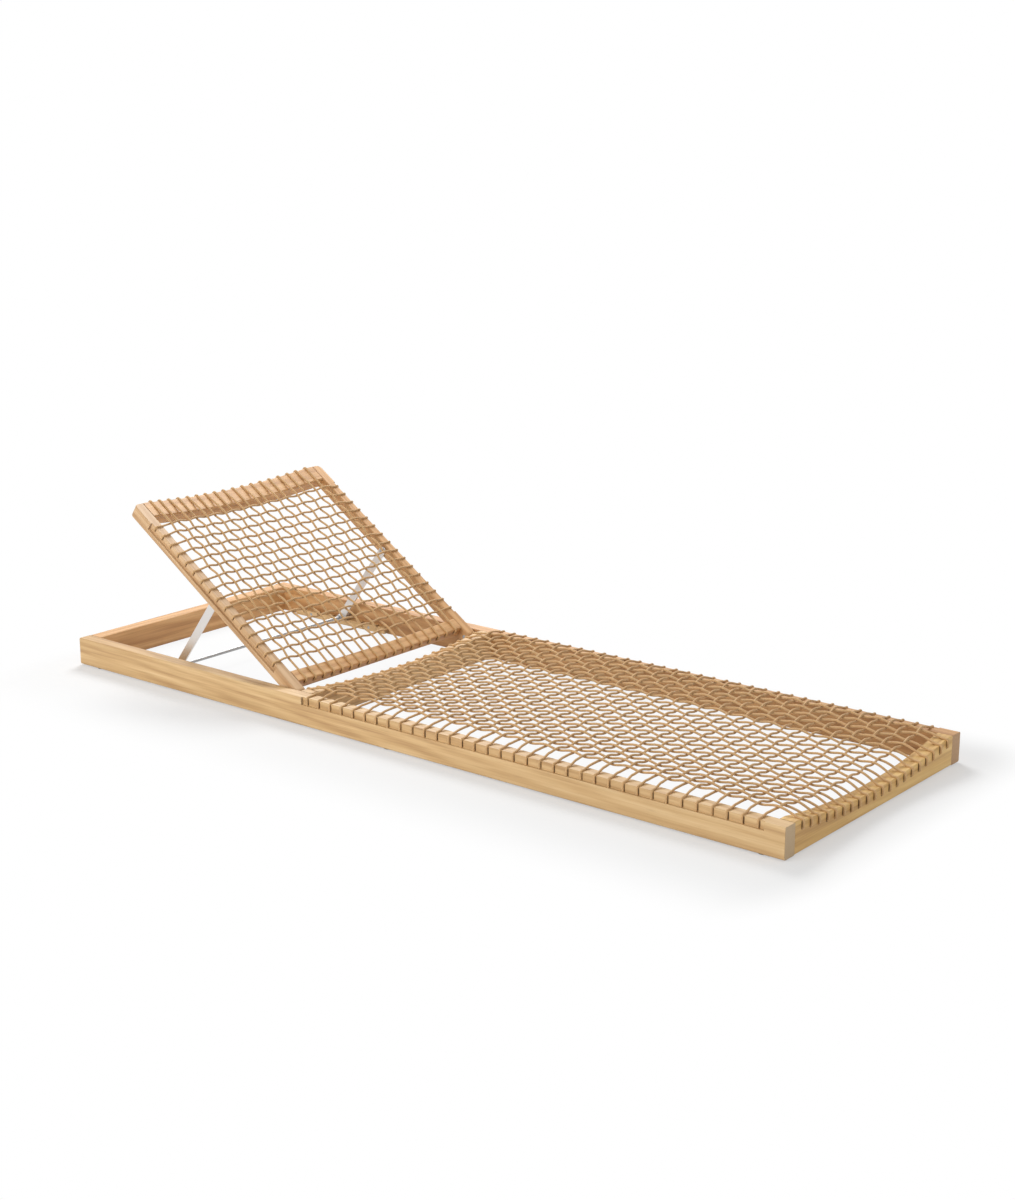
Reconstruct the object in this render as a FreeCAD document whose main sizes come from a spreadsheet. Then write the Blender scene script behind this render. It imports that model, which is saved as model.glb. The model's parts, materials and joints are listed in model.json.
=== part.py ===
"""Low sun lounger: a frame of rails on edge, a corded seat and a corded backrest.

The backrest turns on two pins near the middle of the frame.  A stay of two flat
arms and a round rod props it on two notched racks inside the side rails.

Frame of the model: +X to the foot end, +Y to the sitter's left, +Z up.  The origin
is on the floor, under the middle of the frame.  Lengths are in millimetres and
angles in degrees.
"""
import FreeCAD, Part
import math
import os
import Sketcher

Vector = FreeCAD.Vector

# Driving sizes

SIZES = [
    # Frame of rails
    ("lounger_length", 2000.0, "head end to the cord ends on the foot rail"),
    ("lounger_width", 700.0, "over the side rails' outer faces"),
    ("rail_height", 65.0, "height of each rail on edge"),
    ("rail_thickness", 35.0, "thickness of each rail"),
    ("rail_bevel", 2.0, "bevel along the rails' long edges"),
    ("glide_thickness", 3.0, "floor glide under the side rails"),
    ("glide_diameter", 24.0, "floor glide disc, over its corners"),
    ("glide_sides", 12.0, "sides of that disc"),
    ("glide_inset", 60.0, "outer glides' distance from the lounger's ends"),
    ("middle_rail_setback", 718.0, "head end to the middle rail's head face"),
    ("foot_scoop_depth", 26.0, "dip in the foot rail's top edge"),
    ("middle_scoop_depth", 20.0, "dip in the middle rail's top edge"),
    ("seat_scoop_shoulder", 15.0, "level part of their top edges beside the dips"),
    ("tenon_length", 22.0, "reach of the cross rails' tenons"),
    ("tenon_thickness", 14.0, "thickness of the tenons"),
    ("tenon_drop", 30.0, "rail top to the top of the tenons"),
    ("tenon_foot", 8.0, "rail bottom to the bottom of the tenons"),
    ("glue_gap", 0.1, "clearance round each tenon"),
    # Cords
    ("cord_diameter", 5.5, "woven cord"),
    ("cord_gap", 0.6, "between crossing cords"),
    ("cord_seat_gap", 0.4, "between a cord and the dipped rail under it"),
    ("recess_depth", 6.0, "recess for the cord ends in side rails and stiles"),
    ("recess_height", 17.0, "recess from the top edge down"),
    ("recess_margin", 15.0, "recess beyond its first and last cord"),
    ("cord_tail", 15.0, "cord end down a rail or stile"),
    ("seat_cross_pitch", 34.24, "spacing of the seat's crosswise cords"),
    ("seat_cross_margin", 61.0, "foot rail's face to the last of them"),
    ("seat_cross_start", 15.0, "least from the middle rail to the first of them"),
    ("seat_long_pitch", 30.55, "spacing of the seat's lengthwise cords"),
    ("seat_long_margin", 24.0, "least from a side rail to the first of them"),
    # Backrest
    ("backrest_angle", 34.2, "backrest above flat, as it stands"),
    ("pivot_clearance", 26.4, "backrest's pivot to the middle rail"),
    ("stile_width", 28.0, "width of the backrest's stiles"),
    ("stile_thickness", 30.0, "thickness of the backrest's frame"),
    ("stile_bevel", 2.0, "bevel along the backrest's long edges"),
    ("stile_corner", 14.0, "rounding of the stiles' top corners"),
    ("side_gap", 3.0, "stile to side rail"),
    ("head_clearance", 28.6, "top end to the head rail, laid flat"),
    ("back_bottom_start", 19.4, "pivot to the bottom rail's lower face"),
    ("back_bottom_width", 33.0, "bottom rail along the slope"),
    ("back_top_width", 48.0, "top rail along the slope"),
    ("back_top_scoop", 19.0, "dip in the top rail"),
    ("back_bottom_scoop", 9.0, "dip in the bottom rail"),
    ("back_scoop_shoulder", 14.0, "level part of their upper faces beside the dips"),
    ("back_tenon_length", 16.0, "reach of the backrest rails' tenons"),
    ("back_tenon_thickness", 10.0, "height of those tenons in the frame's thickness"),
    ("back_tenon_lift", 1.5, "frame's underside to those tenons"),
    ("back_tenon_shoulder", 5.0, "rail edge to tenon edge along the slope"),
    ("back_cross_pitch", 30.6, "spacing of the backrest's crosswise cords"),
    ("back_cross_clearance", 34.0, "bottom rail to the first of them"),
    ("back_cross_end", 20.0, "least from the last of them to the top rail"),
    ("back_long_pitch", 30.6, "spacing of the backrest's lengthwise cords"),
    ("back_long_margin", 23.0, "least from a stile to the first of them"),
    # Backrest pivot
    ("pin_diameter", 10.0, "steel pin in each stile"),
    ("pin_reach", 22.0, "pin past the stile's outer face"),
    ("bush_wall", 2.0, "plastic bush in the side rail"),
    ("bush_length", 24.0, "bush under its flange"),
    ("bush_flange_diameter", 21.0, "bush flange"),
    ("bush_flange_gap", 0.3, "flange to stile"),
    ("running_gap", 0.05, "pin to bush, all round"),
    # Stay
    ("stay_setback", 308.0, "backrest's top end to the stay's pivot"),
    ("stay_length", 249.0, "stay pivot to rod"),
    ("rod_height", 33.5, "rod's centre above the floor, as it stands and flat"),
    ("rod_diameter", 8.0, "prop rod"),
    ("rod_end_gap", 2.0, "rod's ends to the side rails"),
    ("arm_width", 20.0, "flat stay arm"),
    ("arm_thickness", 4.0, "flat stay arm"),
    ("washer_thickness", 1.5, "washer between stile and arm"),
    ("washer_diameter", 18.0, "that washer"),
    ("arm_play", 0.1, "arm to washer and arm to bolt head"),
    ("bolt_diameter", 6.0, "stay pivot bolt"),
    ("bolt_clearance", 0.25, "bolt to arm and bolt to washer, all round"),
    ("bolt_head_diameter", 12.0, "its low head"),
    ("bolt_head_height", 3.6, "its low head"),
    ("bolt_reach", 17.0, "bolt's reach into the stile"),
    ("insert_wall", 1.6, "threaded insert round the bolt"),
    ("insert_length", 15.0, "threaded insert"),
    ("collar_diameter", 16.0, "lock collar on the rod"),
    ("collar_length", 8.0, "lock collar on the rod"),
    ("ring_sides", 12.0, "sides of the small rings: washers, inserts and collars"),
    # Racks
    ("rack_thickness", 15.0, "notched rack inside each side rail"),
    ("rack_floor_gap", 6.0, "floor to the rack"),
    ("rack_margin", 30.0, "rack beyond its first and last notch"),
    ("rack_bevel", 2.0, "bevel on the rack's ends"),
    ("notch_count", 6.0, "notches in each rack"),
    ("notch_pitch", 51.5, "their spacing"),
    ("notch_rest_index", 3.0, "notches on the head side of the one in use"),
    ("notch_width", 9.0, "width of a notch"),
    ("notch_depth", 8.0, "depth of a notch"),
    ("notch_lean", 20.0, "lean of a notch's mouth towards the foot"),
    ("tooth_gap", 0.4, "rod to the tooth tops, where its path comes nearest"),
    ("rack_screw_count", 3.0, "screws through each rack"),
    ("rack_screw_diameter", 4.0, "rack screw"),
    ("rack_screw_head", 8.0, "rack screw's sunk head"),
    ("rack_screw_head_height", 3.0, "rack screw's sunk head"),
    ("rack_screw_reach", 18.0, "rack screw into the side rail"),
    ("rack_screw_sides", 8.0, "sides of its shank and head"),
    ("overrun", 5.0, "cutting shapes run this far past what they cut"),
]

doc = FreeCAD.newDocument("SunLounger")
sheet = doc.addObject("Spreadsheet::Sheet", "Sizes")
size = {}


def put(alias, value, note):
    """Writes one size to the next row of the sheet and keeps it for plain sums."""
    row = len(size) + 1
    sheet.set("A%d" % row, note)
    sheet.set("B%d" % row, repr(float(value)))
    sheet.setAlias("B%d" % row, alias)
    size[alias] = float(value)


for alias, value, note in SIZES:
    put(alias, value, note)

# Sizes that follow from the driving ones

put("half_length", size["lounger_length"] / 2, "middle to each end")
put("half_width", size["lounger_width"] / 2, "middle to each outer face")
put("inner_half", size["half_width"] - size["rail_thickness"], "middle to a side rail's inner face")
put("rail_bottom", size["glide_thickness"], "floor to the rails")
put("rail_top", size["rail_bottom"] + size["rail_height"], "floor to the rails' top")
put("cord_radius", size["cord_diameter"] / 2, "woven cord")
put("stile_outer", size["inner_half"] - size["side_gap"], "middle to a stile's outer face")
put("stile_inner", size["stile_outer"] - size["stile_width"], "middle to a stile's inner face")
put("face_height", size["stile_thickness"] / 2, "pivot to the frame's upper face")
put("pivot_setback", size["middle_rail_setback"] - size["pivot_clearance"], "head end to the pivot")
put("pivot_x", size["pivot_setback"] - size["half_length"], "pivot along X")
put("pivot_z", size["rail_top"] - size["face_height"], "pivot above the floor")
put("middle_x", size["middle_rail_setback"] - size["half_length"], "middle rail's head face")
put("foot_end", size["half_length"] - size["cord_diameter"], "foot rail's face and side rails' ends")
put("foot_x", size["foot_end"] - size["rail_thickness"], "foot rail's head face")
put("seat_scoop_width", 2 * (size["inner_half"] - size["seat_scoop_shoulder"]), "both seat dips")
put("back_scoop_width", 2 * (size["stile_inner"] - size["back_scoop_shoulder"]), "both backrest dips")
put("back_length", size["pivot_setback"] - size["rail_thickness"] - size["head_clearance"],
    "pivot to the top end")
put("stay_reach", size["back_length"] - size["stay_setback"], "backrest pivot to stay pivot")
put("back_top_start", size["back_length"] - size["back_top_width"], "pivot to the top rail")
put("back_cross_start",
    size["back_bottom_start"] + size["back_bottom_width"] + size["back_cross_clearance"],
    "first crosswise backrest cord")


def cords_in(room, pitch):
    """How many cords fit in a length with one at each end or near it."""
    return math.floor(room / pitch) + 1


put("seat_cross_last", size["foot_end"] - size["seat_cross_margin"], "last crosswise seat cord")
put("seat_cross_count",
    cords_in(size["seat_cross_last"] - size["middle_x"] - size["rail_thickness"] - size["seat_cross_start"],
             size["seat_cross_pitch"]), "crosswise seat cords")
put("seat_cross_first",
    size["seat_cross_last"] - (size["seat_cross_count"] - 1) * size["seat_cross_pitch"],
    "first crosswise seat cord")
put("seat_long_count", cords_in(2 * (size["inner_half"] - size["seat_long_margin"]), size["seat_long_pitch"]),
    "lengthwise seat cords")
put("seat_long_edge", (size["seat_long_count"] - 1) * size["seat_long_pitch"] / 2,
    "outer lengthwise seat cords")
put("back_cross_count",
    cords_in(size["back_top_start"] - size["back_cross_end"] - size["back_cross_start"],
             size["back_cross_pitch"]), "crosswise backrest cords")
put("back_cross_last",
    size["back_cross_start"] + (size["back_cross_count"] - 1) * size["back_cross_pitch"],
    "last crosswise backrest cord")
put("back_long_count",
    cords_in(2 * (size["stile_inner"] - size["back_long_margin"]), size["back_long_pitch"]),
    "lengthwise backrest cords")
put("back_long_edge", (size["back_long_count"] - 1) * size["back_long_pitch"] / 2,
    "outer lengthwise backrest cords")


def stay_slope(rise_angle, rod_z):
    """Angle of the arms below level that puts the rod at a height, in degrees."""
    bolt_z = size["pivot_z"] + size["stay_reach"] * math.sin(math.radians(rise_angle))
    return math.degrees(math.asin((bolt_z - rod_z) / size["stay_length"]))


put("stay_slope_rest", stay_slope(size["backrest_angle"], size["rod_height"]),
    "arms below level, as they stand")
put("stay_slope_flat", stay_slope(0, size["rod_height"]), "arms below level, backrest flat")
put("stay_ratio",
    (size["stay_slope_rest"] + size["backrest_angle"] - size["stay_slope_flat"])
    / size["backrest_angle"], "stay's turn for one of the backrest")


def rod_place(rise_angle):
    """X and Z of the rod's centre when the backrest stands at an angle."""
    slope = (size["stay_slope_rest"] + size["backrest_angle"] - rise_angle
             + size["stay_ratio"] * (rise_angle - size["backrest_angle"]))
    rise, fall = math.radians(rise_angle), math.radians(slope)
    return (size["pivot_x"] - size["stay_reach"] * math.cos(rise) - size["stay_length"] * math.cos(fall),
            size["pivot_z"] + size["stay_reach"] * math.sin(rise) - size["stay_length"] * math.sin(fall))


PATH_STEPS = 90
rod_lowest = min(rod_place(size["backrest_angle"] * step / PATH_STEPS)[1] for step in range(PATH_STEPS + 1))
put("rod_x", rod_place(size["backrest_angle"])[0], "rod along X, as it stands")
put("rack_top", rod_lowest - size["rod_diameter"] / 2 - size["tooth_gap"], "floor to the tooth tops")
put("rack_screw_height", size["rack_floor_gap"] + (size["rack_top"] - size["rack_floor_gap"]) / 2,
    "floor to the rack screws")
put("notch_first", size["rod_x"] - size["notch_rest_index"] * size["notch_pitch"], "first notch along X")
put("rack_start", size["notch_first"] - size["rack_margin"], "rack's head end")
put("rack_length", (size["notch_count"] - 1) * size["notch_pitch"] + 2 * size["rack_margin"], "rack")
doc.recompute()

pieces = []
SIDES = (("right", -1), ("left", 1))


def named(text):
    """Expression text in which every size's name is read from the sheet."""
    for alias in sorted(size, key=len, reverse=True):
        text = text.replace("<%s>" % alias, "Sizes.%s" % alias)
    return text


def worth(text):
    """Value of an expression as a plain number."""
    return float(sheet.evalExpression(named(text)))


# Helpers for bodies, sketches and features


def new_body(label, several=False):
    """A body whose label names its node; several of them hold more than one solid."""
    body = doc.addObject("PartDesign::Body", label)
    body.Label = label
    body.AllowCompound = several
    pieces.append(body)
    return body


def new_sketch(body, name, role, offset="0"):
    """A sketch on one of the body's own origin planes, set off along the plane's normal."""
    sketch = body.newObject("Sketcher::SketchObject", name)
    plane = [item for item in body.Origin.OriginFeatures if item.Role == role][0]
    sketch.AttachmentSupport = [(plane, "")]
    sketch.MapMode = "FlatFace"
    sketch.setExpression(".AttachmentOffset.Base.z", "(" + named(offset) + ") * 1 mm")
    return sketch


def tie(sketch, kind, places, text):
    """Adds a dimension to a sketch and binds it to an expression."""
    sketch.addConstraint(Sketcher.Constraint(kind, *places, worth(text)))
    number = sketch.ConstraintCount - 1
    unit = " * 1 deg" if kind == "Angle" else " * 1 mm"
    sketch.setExpression("Constraints[%d]" % number, "(" + named(text) + ")" + unit)


def outline(body, name, role, corners, offset="0"):
    """Closed outline through corners.  A corner with a third entry is reached by an arc.

    Each corner is (x, y) or (x, y, radius, side): the side is 1 for an arc whose
    centre is to the left of the way there and -1 for one to its right.
    """
    sketch = new_sketch(body, name, role, offset)
    spots = [Vector(worth(c[0]), worth(c[1]), 0) for c in corners]
    rises = []
    for i, corner in enumerate(corners):
        start, end = spots[i - 1], spots[i]
        if len(corner) == 2:
            sketch.addGeometry(Part.LineSegment(start, end))
            rises.append(0)
            continue
        radius, side = worth(corner[2]), corner[3]
        along = end - start
        left = Vector(-along.y, along.x, 0).normalize()
        rise = math.sqrt(max(radius ** 2 - along.Length ** 2 / 4, 0))
        centre = (start + end) * 0.5 + left * (side * rise)
        first, last = (start, end) if side > 0 else (end, start)
        sketch.addGeometry(Part.Arc(first, centre - left * (side * radius), last))
        rises.append(rise)
    ends = []
    for i in range(len(corners)):
        curve = sketch.Geometry[i]
        forward = curve.StartPoint.distanceToPoint(spots[i - 1]) < curve.StartPoint.distanceToPoint(spots[i])
        ends.append((1, 2) if forward else (2, 1))
    for i, corner in enumerate(corners):
        after = (i + 1) % len(corners)
        sketch.addConstraint(Sketcher.Constraint("Coincident", i, ends[i][1], after, ends[after][0]))
        tie(sketch, "DistanceX", (-1, 1, i, ends[i][1]), corner[0])
        tie(sketch, "DistanceY", (-1, 1, i, ends[i][1]), corner[1])
        if len(corner) == 4 and rises[i] > size["running_gap"]:
            tie(sketch, "Radius", (i,), corner[2])
        elif len(corner) == 4 and abs(spots[i].x - spots[i - 1].x) < size["running_gap"]:
            tie(sketch, "DistanceX", (-1, 1, i, 3), corner[0])
        elif len(corner) == 4:
            tie(sketch, "DistanceY", (-1, 1, i, 3), corner[1])
    return sketch


def rectangle(body, name, role, low, high, offset="0"):
    """Outline of a rectangle between two opposite corners."""
    corners = [(low[0], low[1]), (high[0], low[1]), (high[0], high[1]), (low[0], high[1])]
    return outline(body, name, role, corners, offset)


def circle(body, name, role, centre, radius, offset="0"):
    """Sketch of one circle."""
    sketch = new_sketch(body, name, role, offset)
    place = Vector(worth(centre[0]), worth(centre[1]), 0)
    sketch.addGeometry(Part.Circle(place, Vector(0, 0, 1), worth(radius)))
    tie(sketch, "DistanceX", (-1, 1, 0, 3), centre[0])
    tie(sketch, "DistanceY", (-1, 1, 0, 3), centre[1])
    tie(sketch, "Radius", (0,), radius)
    return sketch


def polygon(body, name, role, centre, radius, sides, offset="0"):
    """Sketch of a regular polygon with its corners on a circle; sides names their count."""
    turns = ["(%d * 180 deg / <%s>)" % (2 * i + 1, sides) for i in range(int(size[sides]))]
    corners = [("%s + (%s) * cos%s" % (centre[0], radius, turn),
                "%s + (%s) * sin%s" % (centre[1], radius, turn)) for turn in turns]
    return outline(body, name, role, corners, offset)


def pad(body, sketch, length):
    """Adds a sketch's area along its plane's normal."""
    feature = body.newObject("PartDesign::Pad", sketch.Name + "Pad")
    feature.Profile = sketch
    feature.setExpression("Length", "(" + named(length) + ") * 1 mm")
    doc.recompute()
    return feature


def cut(body, sketch, length, along_normal):
    """Cuts a sketch's area away, along its plane's normal or against it."""
    before = body.Shape.Volume
    feature = body.newObject("PartDesign::Pocket", sketch.Name + "Pocket")
    feature.Profile = sketch
    feature.setExpression("Length", "(" + named(length) + ") * 1 mm")
    feature.Reversed = along_normal
    doc.recompute()
    if body.Shape.Volume >= before:
        raise RuntimeError("%s cuts nothing from %s" % (feature.Name, body.Label))
    return feature


def spread(body, features, role, length, count):
    """Repeats features in a row along one of the body's origin axes."""
    row = body.newObject("PartDesign::LinearPattern", features[0].Name + "Row")
    axis = [item for item in body.Origin.OriginFeatures if item.Role == role][0]
    row.Originals = features
    row.Direction = (axis, [""])
    row.setExpression("Length", "(" + named(length) + ") * 1 mm")
    row.setExpression("Occurrences", named(count))
    body.Tip = row
    doc.recompute()
    return row


def round_edges(body, radius, wanted):
    """Rounds the edges of a body that a test picks."""
    base = body.Tip
    names = ["Edge%d" % (i + 1) for i, edge in enumerate(base.Shape.Edges) if wanted(edge)]
    fillet = body.newObject("PartDesign::Fillet", "Rounding")
    fillet.Base = (base, names)
    fillet.setExpression("Radius", "(" + named(radius) + ") * 1 mm")
    doc.recompute()
    return fillet


def bevel_edges(body, width, wanted):
    """Bevels the edges of a body that a test picks."""
    base = body.Tip
    names = ["Edge%d" % (i + 1) for i, edge in enumerate(base.Shape.Edges) if wanted(edge)]
    bevel = body.newObject("PartDesign::Chamfer", "Bevel")
    bevel.Base = (base, names)
    bevel.setExpression("Size", "(" + named(width) + ") * 1 mm")
    doc.recompute()
    return bevel


def revolve(body, sketch, role):
    """Turns a half profile about one of the body's origin axes."""
    axis = [item for item in body.Origin.OriginFeatures if item.Role == role][0]
    feature = body.newObject("PartDesign::Revolution", sketch.Name + "Turn")
    feature.Profile = sketch
    feature.ReferenceAxis = (axis, [""])
    feature.Angle = 360
    doc.recompute()
    return feature


def runs_along(edge, axis):
    """Whether an edge is straight and parallel to an axis."""
    if not isinstance(edge.Curve, Part.Line):
        return False
    return abs(abs(edge.Curve.Direction.dot(axis)) - 1) < 1e-6


def solids_piece(label, solids, placement=None):
    """A node of several separate solids, shaped by sums in this file."""
    piece = doc.addObject("Part::Feature", label)
    piece.Label = label
    piece.Shape = Part.Compound(solids)
    if placement is not None:
        piece.Placement = placement
    pieces.append(piece)
    return piece


X_AXIS, Y_AXIS, Z_AXIS = Vector(1, 0, 0), Vector(0, 1, 0), Vector(0, 0, 1)
OUT_TO_RIGHT = {-1: "<inner_half>", 1: "-<half_width>"}


def lean_back():
    """Placement that swings what is drawn flat about the pivot up to the backrest's angle."""
    turn = FreeCAD.Rotation(Y_AXIS, size["backrest_angle"])
    return FreeCAD.Placement(Vector(size["pivot_x"], 0, size["pivot_z"]), turn)


def bolt_spot():
    """Where the stay's pivot stands in the backrest."""
    rise = math.radians(size["backrest_angle"])
    return Vector(size["pivot_x"] - size["stay_reach"] * math.cos(rise), 0,
                  size["pivot_z"] + size["stay_reach"] * math.sin(rise))


def lean_stay():
    """Placement of the stay, drawn level from its pivot towards the head."""
    return FreeCAD.Placement(bolt_spot(), FreeCAD.Rotation(Y_AXIS, -size["stay_slope_rest"]))


def at_pivot():
    """Placement of what is turned about the backrest's pivot."""
    return FreeCAD.Placement(Vector(size["pivot_x"], 0, size["pivot_z"]), FreeCAD.Rotation())


def at_bolt():
    """Placement of what lies in the backrest round the stay's pivot."""
    return FreeCAD.Placement(bolt_spot(), FreeCAD.Rotation(Y_AXIS, size["backrest_angle"]))


def at_rod():
    """Placement of what is turned about the rod."""
    return FreeCAD.Placement(Vector(size["rod_x"], 0, size["rod_height"]), FreeCAD.Rotation())


# Side rails, with their recess, mortises and bores


def side_rail(name, side):
    """A side rail on edge, its outer recess for the cord ends and its joints' holes."""
    body = new_body("side_rail_" + name)
    face = rectangle(body, "Rail" + name, "XZ_Plane", ("-<half_length>", "<rail_bottom>"),
                     ("<foot_end>", "<rail_top>"), OUT_TO_RIGHT[side])
    pad(body, face, "<rail_thickness>")
    bevel_edges(body, "<rail_bevel>", lambda edge: runs_along(edge, X_AXIS))
    outer = "<half_width>" if side < 0 else "-<half_width>"
    inner = "<inner_half>" if side < 0 else "-<inner_half>"
    into_from_outer = side > 0
    recess = rectangle(body, "Recess" + name, "XZ_Plane",
                       ("<seat_cross_first> - <recess_margin>", "<rail_top> - <recess_height>"),
                       ("<seat_cross_last> + <recess_margin>", "<rail_top> + <overrun>"), outer)
    cut(body, recess, "<recess_depth>", into_from_outer)
    for joint, start in (("Head", "-<half_length>"), ("Middle", "<middle_x>"), ("Foot", "<foot_x>")):
        cheek = "%s + (<rail_thickness> - <tenon_thickness>) / 2" % start
        mortise = rectangle(body, joint + "Mortise" + name, "XZ_Plane",
                            (cheek + " - <glue_gap>", "<rail_bottom> + <tenon_foot> - <glue_gap>"),
                            (cheek + " + <tenon_thickness> + <glue_gap>",
                             "<rail_top> - <tenon_drop> + <glue_gap>"), inner)
        cut(body, mortise, "<tenon_length> + <glue_gap>", not into_from_outer)
    bore = circle(body, "PivotBore" + name, "XZ_Plane", ("<pivot_x>", "<pivot_z>"),
                  "<pin_diameter> / 2 + <running_gap> + <bush_wall>", inner)
    cut(body, bore, "<bush_length>", not into_from_outer)
    pilot = polygon(body, "RackPilot" + name, "XZ_Plane",
                    ("<notch_first> + <notch_pitch> / 2", "<rack_screw_height>"),
                    "<rack_screw_diameter> / 2", "rack_screw_sides", inner)
    spread(body, [cut(body, pilot, "<rack_screw_reach>", not into_from_outer)], "X_Axis",
           "(<notch_count> - 2) * <notch_pitch>", "<rack_screw_count>")
    return body


# Cross rails, scooped along their top edge


def scoop_corners(outer, bottom, top, width, depth, bowed=False):
    """Outline of a rail seen along it: level shoulders with a shallow dip between them.

    A bowed rail has the same curve underneath, so that its thickness stays even.
    """
    radius = "((%s) ^ 2 / 4 + (%s) ^ 2) / (2 * (%s))" % (width, depth, depth)
    half = "(%s) / 2" % width
    corners = [("-" + outer, bottom)]
    if bowed:
        corners += [("-" + half, bottom), (half, bottom, radius, 1)]
    return corners + [(outer, bottom), (outer, top), (half, top),
                      ("-" + half, top, radius, -1), ("-" + outer, top)]


def cross_rail(label, start, scoop):
    """A cross rail with a tenon at each end and, where people lie over it, a dipped top."""
    body = new_body(label)
    if scoop is None:
        face = rectangle(body, label + "Face", "YZ_Plane", ("-<inner_half>", "<rail_bottom>"),
                         ("<inner_half>", "<rail_top>"), start)
    else:
        face = outline(body, label + "Face", "YZ_Plane",
                       scoop_corners("<inner_half>", "<rail_bottom>", "<rail_top>",
                                     "<seat_scoop_width>", scoop), start)
    pad(body, face, "<rail_thickness>")
    bevel_edges(body, "<rail_bevel>", long_edge)
    reach = "<inner_half> + <tenon_length>"
    tenon = rectangle(body, label + "Tenon", "YZ_Plane",
                      ("-(%s)" % reach, "<rail_bottom> + <tenon_foot>"),
                      (reach, "<rail_top> - <tenon_drop>"),
                      "%s + (<rail_thickness> - <tenon_thickness>) / 2" % start)
    pad(body, tenon, "<tenon_thickness>")
    return body


def long_edge(edge):
    """Whether an edge runs along a cross rail, straight or dipped."""
    return edge.BoundBox.YLength > size["running_gap"] > edge.BoundBox.XLength


# Backrest frame, drawn flat with its pivot at the origin


def back_stile(name, side):
    """A stile with a round foot about the pivot, a recess for cord ends and its bores."""
    body = new_body("back_stile_" + name)
    low, high = "-<face_height>", "<face_height>"
    start = "<stile_inner>" if side < 0 else "-<stile_outer>"
    face = outline(body, "Stile" + name, "XZ_Plane",
                   [("-<back_length>", low), ("0", low), ("0", high, "<face_height>", 1),
                    ("-<back_length>", high)], start)
    pad(body, face, "<stile_width>")
    outer_y = side * size["stile_outer"]
    round_edges(body, "<stile_corner>", lambda edge: runs_along(edge, Z_AXIS)
                and abs(edge.CenterOfMass.y - outer_y) < size["side_gap"])
    bevel_edges(body, "<stile_bevel>", lambda edge: runs_along(edge, X_AXIS))
    outer = "<stile_outer>" if side < 0 else "-<stile_outer>"
    inner = "<stile_inner>" if side < 0 else "-<stile_inner>"
    into_from_outer = side > 0
    recess = rectangle(body, "StileRecess" + name, "XZ_Plane",
                       ("-<back_cross_last> - <recess_margin>", "<face_height> - <recess_height>"),
                       ("-<back_cross_start> + <recess_margin>", "<face_height> + <overrun>"), outer)
    cut(body, recess, "<recess_depth>", into_from_outer)
    bore = circle(body, "PinBore" + name, "XZ_Plane", ("0", "0"), "<pin_diameter> / 2", outer)
    cut(body, bore, "<stile_width>", into_from_outer)
    insert = polygon(body, "InsertBore" + name, "XZ_Plane", ("-<stay_reach>", "0"),
                     "<bolt_diameter> / 2 + <insert_wall>", "ring_sides", inner)
    cut(body, insert, "<bolt_reach>", not into_from_outer)
    for joint, edge, width in (("Bottom", "<back_bottom_start>", "<back_bottom_width>"),
                               ("Top", "<back_top_start>", "<back_top_width>")):
        mortise = rectangle(body, joint + "BackMortise" + name, "XZ_Plane",
                            ("-(%s) - (%s) + <back_tenon_shoulder> - <glue_gap>" % (edge, width),
                             low + " + <back_tenon_lift> - <glue_gap>"),
                            ("-(%s) - <back_tenon_shoulder> + <glue_gap>" % edge,
                             low + " + <back_tenon_lift> + <back_tenon_thickness> + <glue_gap>"), inner)
        cut(body, mortise, "<back_tenon_length> + <glue_gap>", not into_from_outer)
    body.Placement = lean_back()
    return body


def back_rail(label, edge, width, scoop, bowed):
    """A backrest rail between the stiles, dipped on its upper face, with its tenons."""
    body = new_body(label)
    start = "-(%s) - (%s)" % (edge, width)
    face = outline(body, label + "Face", "YZ_Plane",
                   scoop_corners("<stile_inner>", "-<face_height>", "<face_height>",
                                 "<back_scoop_width>", scoop, bowed), start)
    pad(body, face, width)
    bevel_edges(body, "<stile_bevel>", long_edge)
    reach = "<stile_inner> + <back_tenon_length>"
    tenon = rectangle(body, label + "Tenon", "YZ_Plane",
                      ("-(%s)" % reach, "-<face_height> + <back_tenon_lift>"),
                      (reach, "-<face_height> + <back_tenon_lift> + <back_tenon_thickness>"),
                      start + " + <back_tenon_shoulder>")
    pad(body, tenon, "(%s) - 2 * <back_tenon_shoulder>" % width)
    body.Placement = lean_back()
    return body


# Pivots


def turned_pair(label, placement, corners_for):
    """A node of two solids of revolution about one cross axis, one at each side."""
    body = new_body(label, True)
    for name, side in SIDES:
        revolve(body, outline(body, label + name, "XY_Plane", corners_for(side)), "Y_Axis")
    body.Placement = placement
    return body


def pin_corners(side):
    """Half profile of a steel pin, fast in the stile and turning in the bush."""
    radius = "<pin_diameter> / 2"
    inner, outer = ("%d * <stile_inner>" % side, "%d * (<stile_outer> + <pin_reach>)" % side)
    return [("0", inner), (radius, inner), (radius, outer), ("0", outer)]


def bush_corners(side):
    """Half profile of a flanged plastic bush in the side rail."""
    inside = "<pin_diameter> / 2 + <running_gap>"
    outside = inside + " + <bush_wall>"
    flange = "<bush_flange_diameter> / 2"
    lip = "%d * (<stile_outer> + <bush_flange_gap>)" % side
    face = "%d * <inner_half>" % side
    end = "%d * (<inner_half> + <bush_length>)" % side
    return [(inside, lip), (flange, lip), (flange, face), (outside, face), (outside, end), (inside, end)]


# Stay: two arms, a rod, and what holds them


def arm_face(side):
    """Y of an arm's outer face and of its inner face, as expressions."""
    outer = "%d * (<stile_inner> - <washer_thickness> - <arm_play>)" % side
    inner = "%s - %d * <arm_thickness>" % (outer, side)
    return outer, inner


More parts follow.
